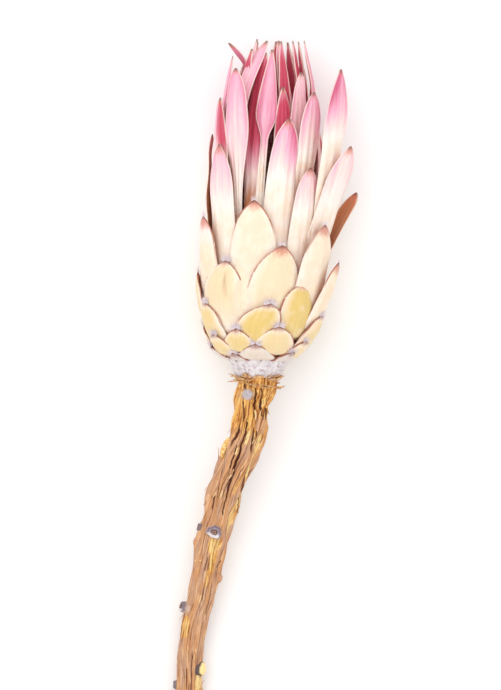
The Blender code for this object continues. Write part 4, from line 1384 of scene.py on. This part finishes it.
def tear_fields(around, along, radius):
    """How far the outer bark is torn away, and how fresh the wood under it is."""
    bare = smooth_step(along, PEEL_TOP - PEEL_FADE, PEEL_TOP + PEEL_FADE)
    fresh = 0.12 * bare
    for turn, middle, half_width, half_length, freshness in all_tears():
        off = wrapped(around - turn) * radius / half_width
        here = smooth_step(1.6 - np.hypot(off, (along - middle) / half_length), 0.2, 1.0)
        bare = np.maximum(bare, here)
        fresh = np.maximum(fresh, here * freshness)
    for patch in SKIN_PATCHES:
        off = wrapped(around - seen_turn(patch.x, np.array(patch.y))) * radius / patch.half_width
        here = smooth_step(1.5 - np.hypot(off, (along - patch.y) / patch.half_length), 0.2, 1.0)
        bare, fresh = bare * (1 - here), fresh * (1 - here)
    return bare, fresh


def stem_surface(around, along, cleft_depth=1.0):
    """Points of the stem's bark in the world, and its fields."""
    middle, radius, direction = stem_lines(along)
    side, up = stem_axes(direction)
    deep, dark = cleft_depths_and_shade(around, along, radius)
    bare, fresh = tear_fields(around, along, radius)
    rough = np.sin(31 * around + 1.7 * np.sin(along / 2.3)) * np.sin(along / 1.9)
    fibres = np.sin(23 * around + 0.05 * along + np.sin(along / 3.1))
    fibres = fibres + 0.6 * np.sin(41 * around + 0.11 * along + 1.4 * np.sin(along / 2.2))
    height = furrow(around, along) - cleft_depth * deep
    height = height + FIBRE_RELIEF * (1 + fresh) * bare * fibres + SKIN_RELIEF * (1 - bare) * rough
    height = height - PEEL_DEPTH * smooth_step(bare, 0.3, 0.7) * smooth_step(-along, 20, 34)
    radius = radius * (1 - RIM_TAPER * smooth_step(along, *RIM_TAPER_SPAN))
    out = np.cos(around)[..., None] * up + np.sin(around)[..., None] * side
    points = middle + out * (radius + height)[..., None]
    grain = np.stack((radius * np.cos(around), radius * np.sin(around), along + 0 * around), -1)
    fields = {"grain": grain, "dark": dark, "bare": bare, "fresh": fresh}
    return points, fields


def bark_material(look):
    """Dry bark: weathered skin, ochre fibres where it is torn, and clefts darkened with painted
    shade.
    """
    made = Shader("bark", 0.78)
    grain = made.field("grain", vector=True)
    fibres = made.noise(made.stretch(grain, 1.0, 1.0, 0.08), 1.7, detail=6, roughness=0.62)
    broad = made.noise(made.stretch(grain, 1.0, 1.0, 0.14), 0.36, detail=3)
    specks = made.noise(made.stretch(grain, 1.0, 1.0, 0.42), 2.6, detail=4, roughness=0.7)
    threads = made.noise(made.stretch(grain, 1.0, 1.0, 0.05), 3.6, detail=4, roughness=0.6)

    skin = made.blend(made.between(broad, 0.4, 0.6), look.skin, look.weathered)
    skin = made.blend(made.between(fibres, 0.5, 0.68), skin, srgb(236, 192, 150))
    skin = made.blend(
        made.math("MULTIPLY", made.between(fibres, 0.46, 0.34), 0.8), skin, srgb(138, 84, 52)
    )
    inner = made.ramp(
        fibres, (0.3, srgb(112, 58, 22)), (0.42, srgb(178, 106, 42)), (0.5, look.ochre),
        (0.57, srgb(244, 190, 104)), (0.68, look.straw),
    )
    fresh = made.math("ADD", made.field("fresh"), made.math("SUBTRACT", fibres, 0.5))
    inner = made.blend(made.between(fresh, 0.3, 0.9), inner, look.straw)
    holes = made.math("MULTIPLY", made.between(specks, 0.42, 0.34), 0.75)
    inner = made.blend(holes, inner, srgb(122, 70, 30))
    edge = made.math("MULTIPLY", made.math("SUBTRACT", specks, 0.5), 1.5)
    bare = made.between(made.math("ADD", made.field("bare"), edge), 0.42, 0.6)
    tone = made.blend(bare, skin, inner)

    # Painted shade in the clefts: their darkness turns the tone to the cleft colour.
    dark = made.math("ADD", made.field("dark"), made.math("SUBTRACT", fibres, 0.5))
    tone = made.blend(made.between(dark, 0.12, 0.6), tone, look.cleft)
    lines = made.math("MULTIPLY", made.between(threads, 0.42, 0.34), 0.6)
    tone = made.blend(lines, tone, srgb(104, 58, 34))
    normal = made.bump(fibres, 0.9, 0.6)
    normal = made.bump(specks, 0.4, 0.35, under=normal)
    return made.finish(tone, normal)


def cut_material(look):
    """The pruned end: pale wood with rings and rays round a darker pith."""
    made = Shader("cut_wood", 0.7)
    grain = made.field("grain", vector=True)
    ring = made.field("dark")
    rings = made.math("SINE", made.math("MULTIPLY", ring, 34))
    wood = made.blend(made.between(rings, -0.6, 1.0), srgb(214, 176, 126), srgb(236, 206, 160))
    rays = made.noise(grain, 1.6, detail=4)
    wood = made.blend(made.math("MULTIPLY", rays, 0.4), wood, srgb(182, 138, 96))
    wood = made.blend(made.between(ring, 0.2, 0.1), wood, look.pith)
    wood = made.blend(made.between(ring, 0.86, 0.93), wood, srgb(128, 82, 54))
    return made.finish(wood, made.bump(rays, 0.4, 0.2))


class ProteaStem(bpy.types.Operator):
    """The stem with its bark, and its pruned end."""

    bl_idname = "protea.stem"
    bl_label = "Stem"

    def execute(self, context):
        look = context.scene.protea_stem
        top, bottom = STEM_COURSE[0][1], STEM_COURSE[-1][1]
        turns = np.linspace(-math.pi, math.pi, STEM_SIDES, endpoint=False)
        around, along = np.meshgrid(turns, np.linspace(top, bottom, STEM_RINGS))
        points, fields = stem_surface(around, along, look.cleft_depth)
        bark = Part(
            points.reshape(-1, 3),
            grid_faces(STEM_RINGS, STEM_SIDES, closed=True),
            {name: flat(values) for name, values in fields.items()},
        )
        new_piece("stem_bark", [bark, self.cap(points[0])], [bark_material(look)], "bark", "stem")
        cut = self.cap(points[-1] - (0, 0.02, 0))
        new_piece("cut_end", [cut], [cut_material(look)], "bark")
        return {"FINISHED"}

    def cap(self, edge):
        """A flat end inside an edge of the bark, in rings."""
        steps = np.linspace(0, 1, CAP_RINGS)
        middle = edge.mean(axis=0)
        points = middle + (edge - middle)[None] * steps[:, None, None]
        ring = flat(np.repeat(steps[:, None], len(edge), axis=1))
        fields = {"grain": flat(points), "dark": ring, "bare": ring, "fresh": 0 * ring}
        faces = grid_faces(len(steps), len(edge), closed=True)
        return Part(points.reshape(-1, 3), faces, fields)


class ProteaKnots(bpy.types.Operator):
    """Leaf scars, buds and swellings of the stem."""

    bl_idname = "protea.knots"
    bl_label = "Knots"

    def execute(self, context):
        look = context.scene.protea_stem
        parts = [self.knot(number, knot) for number, knot in enumerate(KNOTS)]
        new_piece("knots", parts, [self.material(look)], "bark")
        self.add_bud_wool(context.scene.protea_wool)
        return {"FINISHED"}

    def knot(self, number, knot):
        """A dome on the bark, with rings where a leaf once stood."""
        turn = math.radians(knot.around)
        middle, radius, direction, out = stem_place(knot.along, turn)
        across = np.cross(direction, out)
        spokes = np.linspace(0, math.tau, KNOT_SPOKES, endpoint=False)
        spoke, reach = np.meshgrid(spokes, np.linspace(0.0, 1.0, KNOT_RINGS))
        uneven = 1 + 0.07 * np.sin(3 * spoke + number) + 0.05 * np.sin(7 * spoke + 2 * number)
        width = knot.width / 2 * reach * uneven
        long = knot.length / 2 * reach * uneven
        rise = self.dome(knot, reach) + self.rings(knot, reach, spoke)
        points = (
            middle
            + out * (radius + rise)[..., None]
            + across * (width * np.cos(spoke))[..., None]
            + direction * (long * np.sin(spoke))[..., None]
        )
        fields = {
            "grain": flat(points + (number * 9.0, 0, 0)),
            "reach": flat(reach),
            "lower": flat(np.sin(spoke)),
            "kind": flat(KNOT_KINDS.index(knot.kind) + 0 * reach),
        }
        faces = grid_faces(KNOT_RINGS, KNOT_SPOKES, closed=True)[:, ::-1]
        return Part(points.reshape(-1, 3), faces, fields)

    def dome(self, knot, reach):
        """How far the knot stands over the bark, from its middle out to under its edge."""
        top = knot.width / 2 - knot.sunk
        if knot.kind == "scar":
            return mix(SCAR_FLATNESS * top, -SCAR_EDGE, reach**4)
        return knot.width / 2 * np.sqrt(np.clip(1 - reach**2, 0, 1)) - knot.sunk

    def rings(self, knot, reach, spoke):
        """Rim, hollow and pit of a scar or bud, and the slight unevenness of the rest."""
        if knot.kind not in ("scar", "bud"):
            return 0.12 * np.sin(5 * spoke + 9 * reach) * reach * (1 - reach)
        return sum(
            ring.height * np.exp(-(((reach - ring.reach) / ring.width) ** 2))
            for ring in SCAR_RINGS
        )

    def material(self, look):
        """One finish for every kind of knot: rings and a painted highlight on the scars, and plain
        tones on the rest.
        """
        made = Shader("knot", 0.8)
        grain = made.field("grain", vector=True)
        blotches = made.noise(grain, 1.1, detail=5, roughness=0.65)
        kind, reach, lower = made.field("kind"), made.field("reach"), made.field("lower")
        uneven = made.math("MULTIPLY", made.math("SUBTRACT", blotches, 0.5), 0.22)
        spread = made.math("ADD", reach, uneven)
        scar = made.ramp(
            spread, (0.0, srgb(96, 66, 58)), (0.2, srgb(158, 124, 108)), (0.34, srgb(92, 62, 58)),
            (0.5, srgb(206, 194, 198)), (0.62, srgb(140, 118, 128)), (0.78, look.scar),
            (0.9, srgb(206, 172, 148)),
        )
        # A pale crescent on the side of a scar's hollow towards the cut end, the wall that faces the
        # light: painted highlight.
        painted_highlight_crescent = made.math(
            "MULTIPLY", made.between(lower, 0.0, -0.7), made.between(reach, 0.3, 0.5)
        )
        painted_highlight_crescent = made.math("MULTIPLY", painted_highlight_crescent, made.between(reach, 0.82, 0.66))
        scar = made.blend(painted_highlight_crescent, scar, srgb(240, 232, 232))
        bud = made.blend(blotches, srgb(92, 80, 84), srgb(158, 138, 134))
        swelling = made.blend(made.between(blotches, 0.35, 0.65), look.skin, look.weathered)
        flap = made.blend(made.between(blotches, 0.4, 0.6), look.ochre, look.straw)
        pale = made.blend(made.between(reach, 0.7, 0.9), look.straw, srgb(92, 76, 72))
        woolly = made.blend(blotches, srgb(170, 162, 172), srgb(236, 230, 238))
        tone = scar
        for number, other in enumerate((bud, swelling, flap, pale, woolly), 1):
            tone = made.blend(made.between(kind, number - 0.6, number - 0.4), tone, other)
        return made.finish(tone, made.bump(blotches, 0.7, 0.4))

    def add_bud_wool(self, look):
        """Short hairs all over the woolly buds."""
        draw = np.random.default_rng(BUD_SEED)
        parts = []
        for knot in KNOTS:
            if knot.kind != "woolly":
                continue
            middle, radius, _, out = stem_place(knot.along, math.radians(knot.around))
            aims = unit(draw.normal(0, 1, (BUD_HAIRS, 3)) * 0.8 + out)
            roots = middle + out * (radius - knot.sunk) + aims * (knot.width * 0.42)
            lengths = draw.uniform(*BUD_HAIR_LENGTHS, BUD_HAIRS)
            parts.append(hairs(roots, aims, lengths, look.hair / MM, 0.5, draw))
        new_piece("bud_wool", parts, [hair_material("bud_hair", look.grey)], "wool")


class ProteaTornBark(bpy.types.Operator):
    """Splinters of bark that flare round the stem's top, and flakes that lift below them."""

    bl_idname = "protea.torn_bark"
    bl_label = "Torn bark"

    def execute(self, context):
        look = context.scene.protea_stem
        draw = np.random.default_rng(SPLINTER_SEED)
        parts = [self.rim_splinter(number, draw) for number in range(RIM_SPLINTERS)]
        parts += [self.flake(number, draw) for number in range(FLAKES)]
        made = Shader("torn_bark", 0.8)
        grain = made.field("grain", vector=True)
        fibres = made.noise(made.stretch(grain, 1.0, 0.12, 1.0), 2.0, detail=5)
        tone = made.ramp(
            fibres, (0.28, srgb(112, 64, 34)), (0.4, srgb(196, 138, 84)),
            (0.52, srgb(230, 186, 136)), (0.68, look.straw),
        )
        tip = made.between(made.field("reach"), 0.72, 1.0)
        tone = made.blend(made.math("MULTIPLY", tip, 0.5), tone, srgb(120, 76, 52))
        material = made.finish(tone, made.bump(fibres, 0.7, 0.3))
        new_piece("torn_bark", parts, [material], "bark")
        return {"FINISHED"}

    def strip(self, root, aim, lift, long, wide, thick, bluntness, number):
        """A tapering strip of bark that bends from its aim towards its lift."""
        across, along = np.meshgrid(
            np.linspace(-1, 1, STRIP_COLUMNS), np.linspace(0, 1, STRIP_ROWS)
        )
        side = unit(np.cross(aim, lift))
        taper = wide / 2 * (1 - along**bluntness) + 0.06
        ragged = 1 + 0.18 * np.sin(9 * along + number) * np.sign(across)
        bend = lift * (along**2)[..., None]
        face = root + long * (aim * along[..., None] + 0.45 * bend)
        face = face + side * (across * taper * ragged)[..., None]
        face = face + lift * (0.15 * (1 - across**2))[..., None]
        grain = np.stack((across * taper, along * long, 0 * across + number * 1.7), axis=-1)
        fields = {"grain": grain, "reach": along}
        return blade(face, thick * (1 - 0.6 * along), fields, {})

    def rim_splinter(self, number, draw):
        """One ragged splinter, longer to the sides, where the bark flares most."""
        turn = math.tau * (number + draw.uniform(-0.4, 0.4)) / RIM_SPLINTERS
        drop = draw.uniform(*RIM_DROPS)
        middle, _, direction, out = stem_place(STEM_COURSE[0][1] - drop, turn)
        root = middle + out * (RIM_RADIUS - 0.25 * drop)
        aim = unit(out + direction * draw.uniform(0.0, 0.5))
        lift = unit(direction - 0.1 * out) * draw.uniform(-0.4, 0.3)
        extra = RIM_SIDE_LENGTH * abs(math.sin(turn))
        long = draw.uniform(*RIM_LENGTHS) + extra * draw.uniform(0.3, 1.0)
        wide = draw.uniform(*RIM_WIDTHS)
        return self.strip(root, aim, lift, long, wide, RIM_THICKNESS, RIM_BLUNTNESS, number)

    def flake(self, number, draw):
        """A small flake that lifts from the torn upper bark."""
        along = draw.uniform(*(UPPER_BARK if number < UPPER_FLAKES else LOWER_BARK))
        turn = draw.uniform(-math.pi, math.pi)
        around = np.full((2, 2), turn) + np.array(((0, 0.05), (0, 0.05)))
        places = along + np.array(((0, 0), (-0.3, -0.3)))
        points, _ = stem_surface(around, places)
        middle, _, direction = stem_lines(np.array(along))
        out = unit(points[0, 0] - middle)
        aim = unit(direction * draw.choice((-1.0, 1.0)) + 0.22 * out)
        root = points[0, 0] - 0.15 * out
        long, wide = draw.uniform(*FLAKE_LENGTHS), draw.uniform(*FLAKE_WIDTHS)
        lift = out * draw.uniform(0.1, 0.5)
        return self.strip(root, aim, lift, long, wide, FLAKE_THICKNESS, FLAKE_BLUNTNESS, number)


class ProteaStage(bpy.types.Operator):
    """Pale floor, soft light, and a camera that looks straight down."""

    bl_idname = "protea.stage"
    bl_label = "Stage"

    def execute(self, context):
        look = context.scene.protea_stage
        self.add_floor(context, look)
        self.add_light(context, look)
        self.add_camera(context, look)
        context.scene.view_settings.view_transform = "Standard"
        return {"FINISHED"}

    def add_floor(self, context, look):
        bpy.ops.mesh.primitive_plane_add(size=max(CAD_BOX[1] - CAD_BOX[0]) * FLOOR_SPAN)
        floor = context.object
        floor.name = "floor"
        made = Shader("floor", 0.9)
        floor.data.materials.append(made.finish((*look.floor, 1)))

    def add_light(self, context, look):
        world = context.scene.world or bpy.data.worlds.new("sky")
        context.scene.world = world
        world.use_nodes = True
        sky = world.node_tree.nodes["Background"]
        sky.inputs["Color"].default_value = (1, 1, 1, 1)
        sky.inputs["Strength"].default_value = look.sky
        bpy.ops.object.light_add(type="AREA", location=KEY_PLACE * MM)
        key = context.object
        key.name = "key_light"
        key.data.shape = "DISK"
        key.data.size = KEY_WIDTH * MM
        key.data.energy = look.key
        key.visible_camera = False
        aim = KEY_AIM * MM - key.location
        key.rotation_euler = aim.to_track_quat("-Z", "Y").to_euler()

    def add_camera(self, context, look):
        distance = VIEW_HEIGHT * look.lens / SENSOR
        place = VIEW_CENTRE + Vector((0, 0, distance))
        bpy.ops.object.camera_add(location=place * MM, rotation=(0, 0, 0))
        camera = context.object
        camera.name = "camera"
        camera.data.lens = look.lens
        camera.data.sensor_width = SENSOR
        camera.data.clip_start, camera.data.clip_end = 0.01, 20
        context.scene.camera = camera


PIECES = (
    ProteaReceptacle, ProteaBracts, ProteaFlorets, ProteaWool, ProteaStem, ProteaKnots,
    ProteaTornBark, ProteaStage,
)
SETTINGS = {
    "protea_bracts": ProteaBractSettings,
    "protea_wool": ProteaWoolSettings,
    "protea_stem": ProteaStemSettings,
    "protea_stage": ProteaStageSettings,
}


class ProteaPanel(bpy.types.Panel):
    """Lists the settings and the steps that build the flower."""

    bl_idname = "VIEW3D_PT_protea"
    bl_label = "Dried protea"
    bl_space_type = "VIEW_3D"
    bl_region_type = "UI"
    bl_category = "Protea"

    def draw(self, context):
        for name, settings in SETTINGS.items():
            box = self.layout.box()
            box.label(text=settings.__doc__)
            group = getattr(context.scene, name)
            for field in settings.__annotations__:
                box.prop(group, field)
        for piece in PIECES:
            self.layout.operator(piece.bl_idname)


def register():
    for kind in (*SETTINGS.values(), *PIECES, ProteaPanel):
        bpy.utils.register_class(kind)
    for name, settings in SETTINGS.items():
        setattr(bpy.types.Scene, name, bpy.props.PointerProperty(type=settings))


def unregister():
    for name in SETTINGS:
        delattr(bpy.types.Scene, name)
    for kind in (ProteaPanel, *reversed(PIECES), *SETTINGS.values()):
        bpy.utils.unregister_class(kind)


def main():
    """Registers the add-on and builds every piece in order."""
    register()
    bpy.ops.protea.receptacle()
    bpy.ops.protea.bracts()
    bpy.ops.protea.florets()
    bpy.ops.protea.wool()
    bpy.ops.protea.stem()
    bpy.ops.protea.knots()
    bpy.ops.protea.torn_bark()
    bpy.ops.protea.stage()


if __name__ == "__main__":
    main()
